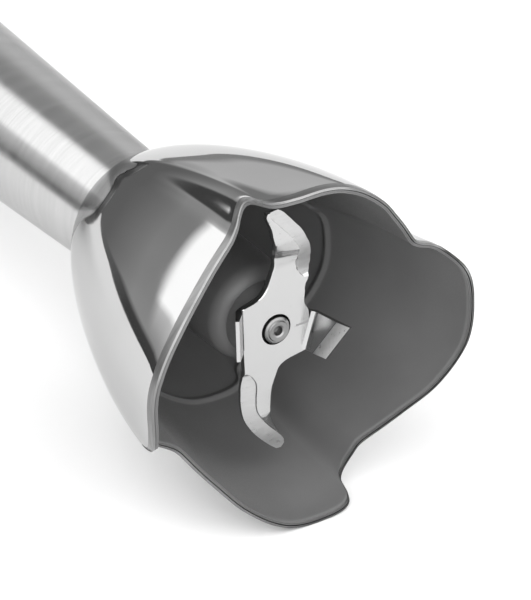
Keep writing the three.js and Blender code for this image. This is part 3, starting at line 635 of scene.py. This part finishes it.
def build_lining():
    outer_inset = BELL_WALL + LINING_GAP
    inner_inset = outer_inset + LINING_WALL
    outer = [bell_ring(v, outer_inset) for v in dome_steps(0.95, 20)[::-1]]
    edge = rim_edge(inner_inset, outer_inset, LINING_EDGE_ROUND)
    inner = []
    for v in dome_steps(0.9, 150):
        x = np.mean(bell_surface(v)[0])
        proud = BEAD_HEIGHT * np.exp(-(((x - BEAD_X) / BEAD_HALF_WIDTH) ** 4))
        inner.append(bell_ring(v, inner_inset + proud))
    rings = outer + edge + inner + hub_rings() + bore_rings()
    slots = edge_slots(outer, edge, rings)
    # The rim's edge takes the darker copy of the lining plastic, which is painted shade.
    piece = skin("bell_lining_moulding", rings, [LINING, LINING_EDGE_PAINTED_SHADE], face_slots=slots, sharp=60)
    belong(piece, "foot", "lining_plastic", "bell_lining")


# ---- Tube and collar ----

TUBE_WALL = 1.0
# Where the collar begins, where its inside ends, and the latch groove in its spigot: front, back and radius.
COLLAR_FRONT = -197
COLLAR_STOP = -206.3
LATCH_GROOVE = (-222.5, -226.5, 21.6)


def build_tube():
    front, back = high_x("foot_tube"), low_x("foot_tube")
    back_radius = outer_radius("foot_tube")
    profile = [
        (front, NECK_RADIUS - TUBE_WALL),
        (front, NECK_RADIUS - 0.25),
        (front - 0.3, NECK_RADIUS),
        (back, back_radius),
        (back, back_radius - TUBE_WALL),
    ]
    piece = turned("foot_tube_brushed", rounded(profile, 0.2, 2), [BRUSHED], 160)
    belong(piece, "foot", "brushed_steel", "foot_tube")


def build_collar():
    """The moulding round the tube's end, with the spigot that plugs into the handle."""
    tail = low_x("foot_collar")
    sleeve = outer_radius("foot_tube") + 0.35
    spigot = outer_radius("latch_ring") - 1.8
    shoulder = high_x("nose_ring") + 0.4
    groove_front, groove_back, groove = LATCH_GROOVE
    outside = [(COLLAR_FRONT, sleeve), (COLLAR_FRONT, 20), (-203, 22.2), (-210, 24.8), (-215, 26.4),
               (shoulder, 27), (shoulder, spigot), (groove_front, spigot), (groove_front, groove),
               (groove_back, groove), (groove_back, spigot), (tail, spigot), (tail, 20)]
    inside = [(-227.5, 19.2), (-221, 9.8), (-214.6, 9.8), (-214.6, 6), (-211, 6), (-209, 15),
              (COLLAR_STOP, 16.5), (COLLAR_STOP, sleeve)]
    piece = turned("foot_collar_moulding", rounded(outside + inside, 0.6, 3), [HANDLE], 128)
    belong(piece, "foot", "handle_plastic", "foot_collar")


def build_o_ring():
    half_width, half_height = 0.8, 0.7
    radius = outer_radius("foot_o_ring") - 0.75
    x = node_middle("foot_o_ring")[0]
    angles = np.linspace(0, 2 * math.pi, 16, endpoint=False)
    profile = [(x + half_width * math.cos(a), radius + half_height * math.sin(a)) for a in angles]
    piece = turned("foot_o_ring_rubber", profile, [RUBBER])
    belong(piece, "foot", "rubber", "foot_o_ring")


# ---- Cutter ----

BLADE_FRONT_X = -14.0
BLADE_THICKNESS = 1.2
BLADE_TURN = math.radians(3)
BLADE_BORE = 3.15
EDGE_THICKNESS = 0.7
EDGE_ROUND = 0.4
# The wall between an arm's flat and its ground strip, and the length over which it sets in.
WALL_WIDTH = 0.12
WALL_DEPTH = 0.26
GRIND_RUN = 0.8
# An arm narrower than this has its small edges scaled down.
FULL_EDGE_WIDTH = 1.2
# How far each half of the plate runs past the axis, and each wing into the plate, so that they unite.
HALF_OVERLAP = 0.5
WING_OVERLAP = 0.3
# The upper arm's bend: its slant across the arm, start, length and slope, and the length it eases in over.
BEND_SLANT = 0.45
BEND_START = 13.4
BEND_LENGTH = 4.4
BEND_SLOPE = 0.72
BEND_EASE = 1.2
STRIP_RISE = 2.7
BEND_RADIUS = 0.9
WING_BEVEL = 2.7
# The two long arms. Rows hold the distance along the arm, left edge, bevel line and right edge.
UPPER_ROWS = [
    [1.6, -7.4, 7.0, 7.2],
    [3.5, -7.3, 6.2, 6.4],
    [5.9, -7.2, 6.4, 6.6],
    [6.6, -7.0, 6.4, 6.6],
    [7.0, -5.0, 6.5, 6.7],
    [7.6, -3.2, 6.6, 6.9],
    [8.2, -2.4, 6.8, 7.3],
    [9.1, -1.7, 6.6, 7.6],
    [9.9, -1.2, 5.9, 7.8],
    [11.0, -0.7, 5.2, 7.8],
    [12.2, -0.2, 5.0, 7.9],
    [13.2, 0.2, 4.9, 7.8],
    [14.5, 0.3, 4.8, 7.7],
    [15.8, 0.2, 4.6, 7.4],
    [17, -0.2, 4.3, 7.0],
    [18, -0.5, 3.9, 6.5],
    [20.6, -1.2, 2.3, 5.2],
    [22.6, -1.5, 0.7, 3.7],
    [24.3, -2.1, -0.7, 2.4],
    [25.6, -2.5, -1.7, 1.3],
    [26.4, -2.2, -1.6, 0.3],
]
LOWER_ROWS = [
    [1.6, -7.4, 7.0, 7.2],
    [3.5, -7.2, 7.0, 7.2],
    [5.9, -7.0, 7.0, 7.2],
    [6.6, -6.4, 7.0, 7.2],
    [6.9, -4.5, 7.0, 7.2],
    [7.3, -2.2, 6.9, 7.3],
    [8.2, -0.6, 5.9, 7.5],
    [9.9, 0.3, 5.0, 8.0],
    [11.5, 1.0, 4.9, 8.1],
    [13.2, 1.5, 5.1, 8.2],
    [15.8, 1.8, 5.1, 8.0],
    [18, 1.8, 4.2, 7.4],
    [20.6, 0.9, 2.4, 6.0],
    [22.6, 0, 0.7, 4.5],
    [24.3, -0.8, -0.5, 3.0],
    [25.4, -0.9, -0.6, 1.9],
    [26.2, -0.2, 0.1, 1.0],
]


def upper_front(along, right):
    """The upper arm sweeps up towards the open end along a slanted bend, then runs flat."""
    bend = np.clip(along + BEND_SLANT * (right - 2.5) - BEND_START, 0, BEND_LENGTH)
    eased = np.where(bend < BEND_EASE, bend * bend / (2 * BEND_EASE), bend - BEND_EASE / 2)
    return BLADE_FRONT_X + BEND_SLOPE * eased


def upper_strip(along):
    """The upper arm's ground strip climbs evenly, ahead of the flat."""
    return BLADE_FRONT_X + STRIP_RISE * smoothstep(along, 8.0, 21.0)


def lower_front(along, right):
    """The lower arm slopes back towards the motor near its tip."""
    return BLADE_FRONT_X - 0.24 * np.maximum(along - 17.6 + 0.3 * (3.0 - right), 0)


def lower_strip(along):
    """The lower arm's ground strip stays level."""
    return BLADE_FRONT_X


def build_arm(name, rows, front_at, strip_at, grind, turn):
    """One half of the plate. Its right edge is ground in one plane from the grind distance on, and the flat
    stands above the ground strip by a small wall."""
    rows = smooth_rows([[-HALF_OVERLAP] + rows[0][1:]] + rows, 10)
    sections = []
    for along, left, line, right in rows:
        ground = smoothstep(along, grind, grind + GRIND_RUN)
        room = min(1.0, max(line - left, 0.05) / FULL_EDGE_WIDTH)
        soft = EDGE_ROUND * room
        left_front, line_front = front_at(along, left), front_at(along, line)
        strip = strip_at(along)
        strip_edge = strip - ground * (BLADE_THICKNESS - EDGE_THICKNESS)
        sections.append([
            (left_front - soft, left, along),
            (left_front - 0.3 * soft, left + 0.3 * soft, along),
            (left_front, left + soft, along),
            (line_front, line - room * WALL_WIDTH, along),
            (strip - ground * WALL_DEPTH, line, along),
            (strip_edge, right, along),
            (strip - BLADE_THICKNESS, right, along),
            (line_front - BLADE_THICKNESS, line, along),
            (left_front - BLADE_THICKNESS, left, along),
        ])
    sections = np.array(sections)
    slots = np.zeros((len(sections) - 1, sections.shape[1]), int)
    slots[:, 4] = rows[:-1, 0] > grind
    slots = np.append(slots.ravel(), [0, 0])
    turn_blade(sections, turn)
    return skin(name, sections, [BLADE, GROUND], closed=False, face_slots=slots, sharp=20)


def turn_blade(points, turn):
    """Turns (x, right, up) blade coordinates about the axis by the blade's angle plus turn, in place."""
    angle = BLADE_TURN + turn
    y, z = points[..., 1].copy(), points[..., 2].copy()
    points[..., 1] = y * math.cos(angle) - z * math.sin(angle)
    points[..., 2] = y * math.sin(angle) + z * math.cos(angle)


def wing_path(reach, bend):
    """Distances out along a wing, each with its bend angle: the bend, the flat and the ground strip."""
    path = [(BEND_RADIUS * bend * f, bend * f) for f in np.linspace(0, 1, 8)]
    return path + [(reach - WING_BEVEL, bend), (reach, bend)]


def build_wing(name, turn, root, other, bend, reaches):
    """A short wing bent towards the open end along the line from root to other, its end edge ground."""
    root, other = np.array(root), np.array(other)
    width = np.linalg.norm(other - root)
    across = (other - root) / width
    outwards = np.array([-across[1], across[0]])
    sections = []
    for f in np.linspace(0.01, 0.99, 9):
        reach = reaches[0] + (reaches[1] - reaches[0]) * f
        base = root + across * width * f
        front, back = [], []
        for distance, angle in wing_path(reach, bend):
            straight = max(0.0, distance - BEND_RADIUS * bend)
            out = BEND_RADIUS * math.sin(angle) + straight * math.cos(bend) - WING_OVERLAP
            up = BEND_RADIUS * (1 - math.cos(angle)) + straight * math.sin(bend)
            ground = max(0.0, (distance - (reach - WING_BEVEL)) / WING_BEVEL)
            ground_off = ground * (BLADE_THICKNESS - EDGE_THICKNESS)
            for side, depth in ((front, ground_off), (back, BLADE_THICKNESS)):
                flat = base + outwards * (out + depth * math.sin(angle))
                side.append((BLADE_FRONT_X + up - depth * math.cos(angle), flat[0], flat[1]))
        sections.append(front + back[::-1])
    sections = np.array(sections)
    count = sections.shape[1]
    slots = np.zeros((len(sections) - 1, count), int)
    slots[:, count // 2 - 2] = 1
    slots = np.append(slots.ravel(), [0, 0])
    turn_blade(sections, turn)
    return skin(name, sections, [BLADE, GROUND], closed=False, face_slots=slots, sharp=20)


def build_cutter():
    blade = build_arm("arm_upper", UPPER_ROWS, upper_front, upper_strip, 8.8, 0.0)
    others = [
        build_arm("arm_lower", LOWER_ROWS, lower_front, lower_strip, 7.2, math.pi),
        build_wing("wing_right", 0.0, (8.1, 1.1), (5.4, -6.3), math.radians(71), (8.6, 5.4)),
        build_wing("wing_left", math.pi, (7.1, 2.0), (6.9, -6.6), math.radians(58), (4.4, 4.2)),
    ]
    join(blade, others, sharp=24)
    drill = rod_tool("x", (0, 0), BLADE_FRONT_X - 6, BLADE_FRONT_X + 4, BLADE_BORE, 64)
    cut_away(blade, [drill], sharp=24)
    blade.name = "cutter_blade_ground"
    belong(blade, "cutter", "blade_steel", "cutter_blade")


# The shaft's end: its centre hole, then its face with two chamfers, as depths behind the front and radii.
SHAFT_HOLE = [(1.4, 0.02), (1.4, 0.75), (0.25, 0.95), (0.05, 1.25)]
SHAFT_FACE = [(0.05, 1.95), (0.3, 2.15), (0.3, 2.35), (0.6, 2.68)]
# Where the blade's seat on the shaft ends, and its radius.
SHAFT_SEAT = (-19.4, 2.8)


def build_shaft_end():
    """The drive shaft with its chamfered, centre-drilled end standing a little proud of the blade."""
    front, back = high_x("drive_shaft"), low_x("drive_shaft")
    body = outer_radius("drive_shaft")
    profile = [(front - depth, radius) for depth, radius in SHAFT_HOLE + SHAFT_FACE]
    profile += [SHAFT_SEAT, (SHAFT_SEAT[0], body), (back + 0.5, body), (back, body - 0.5), (back, 0.02)]
    piece = turned("drive_shaft_turned", profile, [STEEL], 64, sharp=25)
    belong(piece, "cutter", "plain_steel", "drive_shaft")


def build_blade_hub():
    front, back = high_x("blade_hub"), low_x("blade_hub")
    radius = outer_radius("blade_hub")
    bore = 3.3
    profile = [(back, bore), (back, radius - 0.6), (back + 2, radius), (front, radius), (front, bore)]
    piece = turned("blade_hub_turned", rounded(profile, 0.4), [STEEL], 96)
    belong(piece, "cutter", "plain_steel", "blade_hub")


# ---- Handle ----

# Stations along the handle: x, half width, height above the axis, depth below it.
HANDLE_STATIONS = [
    [-230.3, 28.6, 28.6, 28.6],
    [-245, 29.0, 29.2, 29.4],
    [-268, 29.3, 30.0, 31.4],
    [-292, 29.1, 30.5, 32.6],
    [-318, 28.6, 30.4, 32.8],
    [-344, 28.1, 29.8, 32.2],
    [-366, 27.8, 28.9, 31.0],
    [-384, 27.0, 27.6, 29.2],
]
HOUSING_WALL = 2.4
HALF_GAP = 0.12
DIAL_CENTRE = (0, 7)
DIAL_HOLE = 5.3
GLAND_CENTRE = (0, -15)
GLAND_HOLE = 4.6
# How much longer and wider a button's hidden flange is than its cap.
FINGER_FLANGE = (2.8, 2.0)
RELEASE_FLANGE = (2.6, 0.0)
CAP_CORNER = 4
OPENING_CORNER = 4.2
OPENING_CLEARANCE = 0.6
RELEASE_OPENING = 13.6
# The pad's pocket in the casing: its clearance, and how far below the axis it ends.
PAD_CLEARANCE = 0.2
PAD_POCKET = -31.2
# The vents on each side: the first one's place, their pitch, and their length, height and corner.
VENTS = 4
VENT_X = -306.5
VENT_PITCH = 4
VENT_SIZE = (1.8, 16, 0.85)
SCREW_NODES = [node for node in frame["nodes"] if node.startswith("housing_screw")]
SCREW_POCKET = -12.4
SCREW_POCKET_RADIUS = 3.1
# How far from the axis the cutters through the casing start and end.
CUT_FROM = 20
RELEASE_CUT_FROM = 22
CUT_TO = 40


def half_section(station, side, steps=28):
    """The closed outline of one half of the casing: its outer arc, then its inner arc back."""
    x, width, top, bottom = station
    angles = np.linspace(-math.pi / 2, math.pi / 2, steps + 1)
    arcs = []
    for inset in (0, HOUSING_WALL):
        height = np.where(angles > 0, top, bottom) - inset
        y = side * (HALF_GAP + (width - inset - HALF_GAP) * np.cos(angles))
        arcs.append(np.stack([np.full(len(angles), x), y, height * np.sin(angles)], 1))
    return np.vstack([arcs[0], arcs[1][::-1]])


def button_openings(word):
    """Cutters for the two finger buttons and one side's release button."""
    tools = []
    for node in ("power_button", "turbo_button"):
        size = node_size(node)
        length = size.x - FINGER_FLANGE[0] + OPENING_CLEARANCE
        width = size.y - FINGER_FLANGE[1] + OPENING_CLEARANCE
        tools.append(slot_tool(node_middle(node)[0], length, width, OPENING_CORNER, "up", CUT_FROM, CUT_TO))
    release = f"release_button_{word}"
    width = node_size(release).z + OPENING_CLEARANCE
    x = node_middle(release)[0]
    tools.append(slot_tool(x, RELEASE_OPENING, width, OPENING_CORNER, word, RELEASE_CUT_FROM, CUT_TO))
    return tools


def pad_pocket():
    x, size = node_middle("rest_pad")[0], node_size("rest_pad")
    low = (x - size.x / 2 - PAD_CLEARANCE, -size.y / 2 - PAD_CLEARANCE, -CUT_TO)
    return box_tool(low, (x + size.x / 2 + PAD_CLEARANCE, size.y / 2 + PAD_CLEARANCE, PAD_POCKET))


def build_housing(side, word):
    """One half of the casing; the screws go in from the right."""
    stations = smooth_rows(HANDLE_STATIONS, 5)
    sections = [half_section(station, side) for station in stations]
    shell = skin(f"housing_{word}_moulding", sections, [HANDLE], closed=False)
    tools = button_openings(word) + [pad_pocket()]
    for i in range(VENTS):
        tools.append(slot_tool(VENT_X - VENT_PITCH * i, *VENT_SIZE, word, CUT_FROM, CUT_TO))
    if side < 0:
        for node in SCREW_NODES:
            x, _, z = node_middle(node)
            tools.append(rod_tool("y", (x, z), -CUT_TO, SCREW_POCKET, SCREW_POCKET_RADIUS))
    cut_away(shell, tools)
    belong(shell, "motor_unit", "handle_plastic", f"housing_{word}")


def build_nose_ring():
    front, back = high_x("nose_ring"), low_x("nose_ring")
    inner = outer_radius("latch_ring") - 1.4
    recess = 25.9
    profile = [(front, inner), (front, 26.6), (front - 0.6, 27.2), (-230, 28.5), (-230, recess),
               (back, recess), (back, inner)]
    piece = turned("nose_ring_polished", rounded(profile, 0.5, 3), [POLISHED], 160)
    belong(piece, "motor_unit", "polished_steel", "nose_ring")


def build_end_cap():
    """The rounded cap on the casing's end, hollow inside, with holes for the dial and the gland."""
    _, width, top, bottom = HANDLE_STATIONS[-1]
    front, back = high_x("end_cap"), low_x("end_cap")
    floor_x, drill_from, drill_to = -389.6, -396, -380

    def section(x, scale, inset):
        angles = np.arange(96) * 2 * math.pi / 96
        half_width = width * scale - inset
        height = np.where(np.sin(angles) > 0, top, bottom) * scale - inset
        return np.stack([np.full(96, x), half_width * np.cos(angles), height * np.sin(angles)], 1)

    outer = []
    for angle in quarter_turn(11):
        outer.append(section(front + (back - front) * math.sin(angle), 0.8 + 0.2 * math.cos(angle) ** 0.9, 0))
    rings = [section(floor_x, 0.86, HOUSING_WALL), section(front, 0.99, HOUSING_WALL)] + outer
    cap = skin("end_cap_moulding", rings, [HANDLE], closed=False)
    holes = [rod_tool("x", centre, drill_from, drill_to, radius)
             for centre, radius in ((DIAL_CENTRE, DIAL_HOLE), (GLAND_CENTRE, GLAND_HOLE))]
    cut_away(cap, holes)
    belong(cap, "motor_unit", "handle_plastic", "end_cap")


def build_rest_pad():
    """The rubber strip that the handle lies on, with grooves across its lower face."""
    low, high = -AXIS_Z / MM, -31.5
    x, size = node_middle("rest_pad")[0], node_size("rest_pad")
    levels = [(low, 0.7), (low + 0.25, 0.25), (low + 0.7, 0), (high - 0.3, 0), (high, 0.2)]
    rings = []
    for level, inset in levels:
        outline = rounded_rectangle(size.x - 2 * inset, size.y - 2 * inset, 4 - inset)
        rings.append(slot_ring(x, outline, "up", level))
    pad = skin("rest_pad_rubber", rings, [RUBBER], closed=False)
    pitch, half_width, half_length, depth = 9, 0.5, 7, 0.5
    grooves = []
    for i in (-3, -2, -1, 1, 2, 3):
        middle = x + pitch * i
        grooves.append(box_tool((middle - half_width, -half_length, low - 1),
                                (middle + half_width, half_length, low + depth)))
    cut_away(pad, grooves)
    belong(pad, "motor_unit", "rubber", "rest_pad")


CAP_EDGE = 1.3
# The dished face of a button: inset from the outline, depth below the top.
CAP_DISH = [(2.2, 0.06), (3.2, 0.16), (4.2, 0.24)]
CAP_SHARP = 50
FLANGE_THICKNESS = 0.9
RELEASE_BASE = 26.2
RELEASE_TOP = 30.0
# A release button's lugs at each end: from and to along it, and how far out they reach.
RELEASE_LUGS = [(4.4, 6.2, 27.2), (4.4, 7.8, 25.7)]
LUG_START = 24.4
LUG_HALF_HEIGHT = 4


def build_cap(node, direction, base, top, flange):
    """A crowned button: rounded outline, soft edge and a slightly dished face."""
    size = node_size(node)
    length = size.x - flange[0]
    width = (size.y if direction == "up" else size.z) - flange[1]
    levels = [(base, 0.4), (base + 0.3, 0.0), (top - CAP_EDGE, 0.0)]
    for f in np.linspace(0.2, 1, 6):
        angle = f * math.pi / 2
        levels.append((top - CAP_EDGE + CAP_EDGE * math.sin(angle), CAP_EDGE * (1 - math.cos(angle))))
    levels += [(top - dip, inset) for inset, dip in CAP_DISH]
    rings = []
    for level, inset in levels:
        outline = rounded_rectangle(length - 2 * inset, width - 2 * inset, max(CAP_CORNER - inset, 0.6))
        rings.append(slot_ring(node_middle(node)[0], outline, direction, level))
    return skin(f"{node}_cap", rings, [BUTTON], closed=False, sharp=CAP_SHARP)


def build_finger_button(node):
    low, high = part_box(node)
    base = (low.z - AXIS_Z) / MM + FLANGE_THICKNESS
    top = (high.z - AXIS_Z) / MM
    cap = build_cap(node, "up", base, top, FINGER_FLANGE)
    x, size = node_middle(node)[0], node_size(node)
    flange = box_tool((x - size.x / 2, -size.y / 2, base - FLANGE_THICKNESS),
                      (x + size.x / 2, size.y / 2, base + 0.5))
    join(cap, [flange], CAP_SHARP)
    belong(cap, node, "button_plastic", node)


def build_release_button(side, word):
    node = f"release_button_{word}"
    cap = build_cap(node, word, RELEASE_BASE, RELEASE_TOP, RELEASE_FLANGE)
    x = node_middle(node)[0]
    lugs = []
    for end in (-1, 1):
        for near, far, reach in RELEASE_LUGS:
            xs = sorted((x + end * near, x + end * far))
            ys = sorted((side * LUG_START, side * reach))
            lugs.append(box_tool((xs[0], ys[0], -LUG_HALF_HEIGHT), (xs[1], ys[1], LUG_HALF_HEIGHT)))
    join(cap, lugs, CAP_SHARP)
    belong(cap, node, "button_plastic", node)


def build_buttons():
    build_finger_button("power_button")
    build_finger_button("turbo_button")
    build_release_button(1, "left")
    build_release_button(-1, "right")


SPRING_WIRE = 0.35
SPRING_TURNS = 4
STEPS_PER_TURN = 24


def build_spring(node, direction):
    """A coil spring under a button, standing on the chassis."""
    up, across = np.array(direction), np.cross(direction, (1.0, 0.0, 0.0))
    length = abs(np.dot(node_size(node), up))
    coil = node_size(node)[0] / 2 - SPRING_WIRE
    base = np.array(node_middle(node)) - up * length / 2
    rings = []
    for f in np.linspace(0, 1, SPRING_TURNS * STEPS_PER_TURN + 1):
        angle = 2 * math.pi * SPRING_TURNS * f
        radial = np.array((math.cos(angle), 0, 0)) + math.sin(angle) * across
        centre = base + up * (SPRING_WIRE + f * (length - 2 * SPRING_WIRE)) + coil * radial
        rings.append([centre + SPRING_WIRE * (math.cos(b) * radial + math.sin(b) * up)
                      for b in np.linspace(0, 2 * math.pi, 10, endpoint=False)])
    piece = skin(node + "_coil", np.array(rings), [STEEL], closed=False)
    belong(piece, "motor_unit", "plain_steel", node)
    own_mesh(piece)


def build_springs():
    build_spring("power_spring", (0, 0, 1))
    build_spring("turbo_spring", (0, 0, 1))
    build_spring("release_spring_left", (0, 1, 0))
    build_spring("release_spring_right", (0, -1, 0))


def build_dial():
    """The fluted speed dial, its face dished and marked by one groove."""
    back, front = low_x("speed_dial"), high_x("speed_dial")
    radius = outer_radius("speed_dial")
    flutes, steps = 24, 240
    bore, neck, rim_x = 2.8, 4.9, -392.4
    angles = np.arange(steps) * 2 * math.pi / steps
    flute = 0.5 - 0.5 * np.cos(angles * flutes)

    def ring(x, r, depth):
        edge = r - depth * flute
        return np.stack([np.full(steps, x), DIAL_CENTRE[0] + edge * np.cos(angles),
                         DIAL_CENTRE[1] + edge * np.sin(angles)], 1)

    rings = [ring(-387, bore, 0), ring(front, bore, 0), ring(front, neck, 0), ring(rim_x, neck, 0),
             ring(rim_x, radius - 0.5, 0.3), ring(-392.7, radius, 0.6), ring(-394.2, radius, 0.6),
             ring(-394.7, radius - 0.3, 0.5), ring(back, radius - 1.0, 0.2), ring(back, radius - 1.8, 0),
             ring(back + 0.4, radius - 2.4, 0), ring(back + 0.5, 0.5, 0)]
    dial = skin("speed_dial_knob", rings, [BUTTON], closed=False, sharp=CAP_SHARP)
    marker = box_tool((back - 1, -0.5, DIAL_CENTRE[1] + 3.5), (back + 0.9, 0.5, DIAL_CENTRE[1] + 8.2))
    cut_away(dial, [marker], CAP_SHARP)
    belong(dial, "speed_dial", "button_plastic", "speed_dial")


def build_gland():
    """The cord's rubber gland, gripped by the end cap in its groove; no cord is made."""
    bore, groove, groove_front, groove_back = 3.4, 4.4, -389.3, -392.3
    profile = [(-386, bore), (-386, 6.2), (groove_front, 6.2), (groove_front, groove), (groove_back, groove),
               (groove_back, 6), (-393.2, 5.9), (-393.4, 5.5), (-394, 5.4), (-394.2, 5.3), (-395, 5.1),
               (-395, bore)]
    piece = turned("cord_gland_rubber", rounded(profile, 0.25, 3), [RUBBER], 96, GLAND_CENTRE)
    belong(piece, "motor_unit", "rubber", "cord_gland")


# ---- Camera, light and floor ----

CAMERA_AZIMUTH = math.radians(57.405)
CAMERA_ELEVATION = math.radians(29.472)
CAMERA_DISTANCE = 591.7
CAMERA_TARGET = (-11.4, -4.0, 8.7)
CAMERA_LENS = 194.83


def add_camera():
    back = Vector((math.sin(CAMERA_AZIMUTH) * math.cos(CAMERA_ELEVATION),
                   -math.cos(CAMERA_AZIMUTH) * math.cos(CAMERA_ELEVATION), math.sin(CAMERA_ELEVATION)))
    data = bpy.data.cameras.new("camera")
    data.lens = CAMERA_LENS
    data.clip_start = 0.01
    data.clip_end = 20
    camera = bpy.data.objects.new("camera", data)
    bpy.context.scene.collection.objects.link(camera)
    target = Vector(place([CAMERA_TARGET])[0])
    camera.location = target + back * CAMERA_DISTANCE * MM
    camera.rotation_euler = back.to_track_quat("Z", "Y").to_euler()
    bpy.context.scene.camera = camera


def add_floor():
    size = 6.0
    corners = [(-size, -size, 0), (size, -size, 0), (size, size, 0), (-size, size, 0)]
    mesh = bpy.data.meshes.new("floor")
    mesh.from_pydata(corners, [], [(0, 1, 2, 3)])
    surface = Surface("floor_paper", grey(0.86), 0.7)
    surface.tint(surface.noise(6, detail=2), grey(0.85), grey(0.87), 0, 1)
    mesh.materials.append(surface.material)
    floor = bpy.data.objects.new("floor", mesh)
    bpy.context.scene.collection.objects.link(floor)


# The studio's walls round the long axis: degrees up from the far side over the top to the near side, grey.
WALL_STOPS = [(0, 0.40), (6, 0.40), (13, 0.76), (46, 0.80), (58, 0.32), (90, 0.32), (150, 0.42),
              (165, 0.46), (170, 0.09), (180, 0.08)]
# A strip of white panels above the near side, where it ends towards the motor, and how soft that end is.
PANEL_STOPS = [(93, 0.0), (98, 1.25), (105, 1.5), (138, 1.45), (146, 0.5), (158, 0.15), (165, 0.0)]
PANEL_END = -0.875
PANEL_SOFTNESS = 0.012
# The back wall and the open front of the studio: where each begins and is complete, and its grey.
STUDIO_BACK = (-0.93, -0.99, 0.2)
STUDIO_FRONT = (-0.1, 0.7, 3.0)


def add_world():
    """A long strip studio: brightness changes round the long axis, and the open front is bright."""
    world = bpy.data.worlds.new("studio")
    world.use_nodes = True
    nodes, links = world.node_tree.nodes, world.node_tree.links
    split = nodes.new("ShaderNodeSeparateXYZ")
    links.new(nodes.new("ShaderNodeTexCoord").outputs["Generated"], split.inputs[0])

    def mapped(value, low, high):
        node = nodes.new("ShaderNodeMapRange")
        node.inputs["From Min"].default_value = low
        node.inputs["From Max"].default_value = high
        links.new(value, node.inputs["Value"])
        return node.outputs["Result"]

    def ramp(value, stops):
        node = nodes.new("ShaderNodeValToRGB")
        elements = node.color_ramp.elements
        while len(elements) < len(stops):
            elements.new(0.5)
        for element, (degrees, brightness) in zip(elements, stops):
            element.position = degrees / 180
            element.color = (*grey(brightness), 1)
        links.new(value, node.inputs["Fac"])
        return node.outputs["Color"]

    def blend(mode, factor, a, b):
        node = nodes.new("ShaderNodeMix")
        node.data_type = "RGBA"
        node.blend_type = mode
        links.new(factor, node.inputs["Factor"])
        for socket, value in (("A", a), ("B", b)):
            if isinstance(value, tuple):
                node.inputs[socket].default_value = value
            else:
                links.new(value, node.inputs[socket])
        return node.outputs["Result"]

    around = nodes.new("ShaderNodeMath")
    around.operation = "ARCTAN2"
    links.new(split.outputs["Z"], around.inputs[0])
    links.new(split.outputs["Y"], around.inputs[1])
    half_turn = mapped(around.outputs[0], 0, math.pi)
    along = split.outputs["X"]
    walls = ramp(half_turn, WALL_STOPS)
    panels_reach = mapped(along, PANEL_END - PANEL_SOFTNESS, PANEL_END + PANEL_SOFTNESS)
    whole = blend("ADD", panels_reach, walls, ramp(half_turn, PANEL_STOPS))
    for begins, complete, brightness in (STUDIO_BACK, STUDIO_FRONT):
        whole = blend("MIX", mapped(along, begins, complete), whole, (*grey(brightness), 1))
    links.new(whole, nodes["Background"].inputs["Color"])
    bpy.context.scene.world = world


add_camera()
dress_cad_nodes()
build_bell()
build_lining()
build_tube()
build_collar()
build_o_ring()
build_cutter()
build_shaft_end()
build_blade_hub()
build_housing(1, "left")
build_housing(-1, "right")
build_nose_ring()
build_end_cap()
build_rest_pad()
build_buttons()
build_springs()
build_dial()
build_gland()
add_floor()
add_world()
bpy.context.scene.view_settings.view_transform = "Standard"
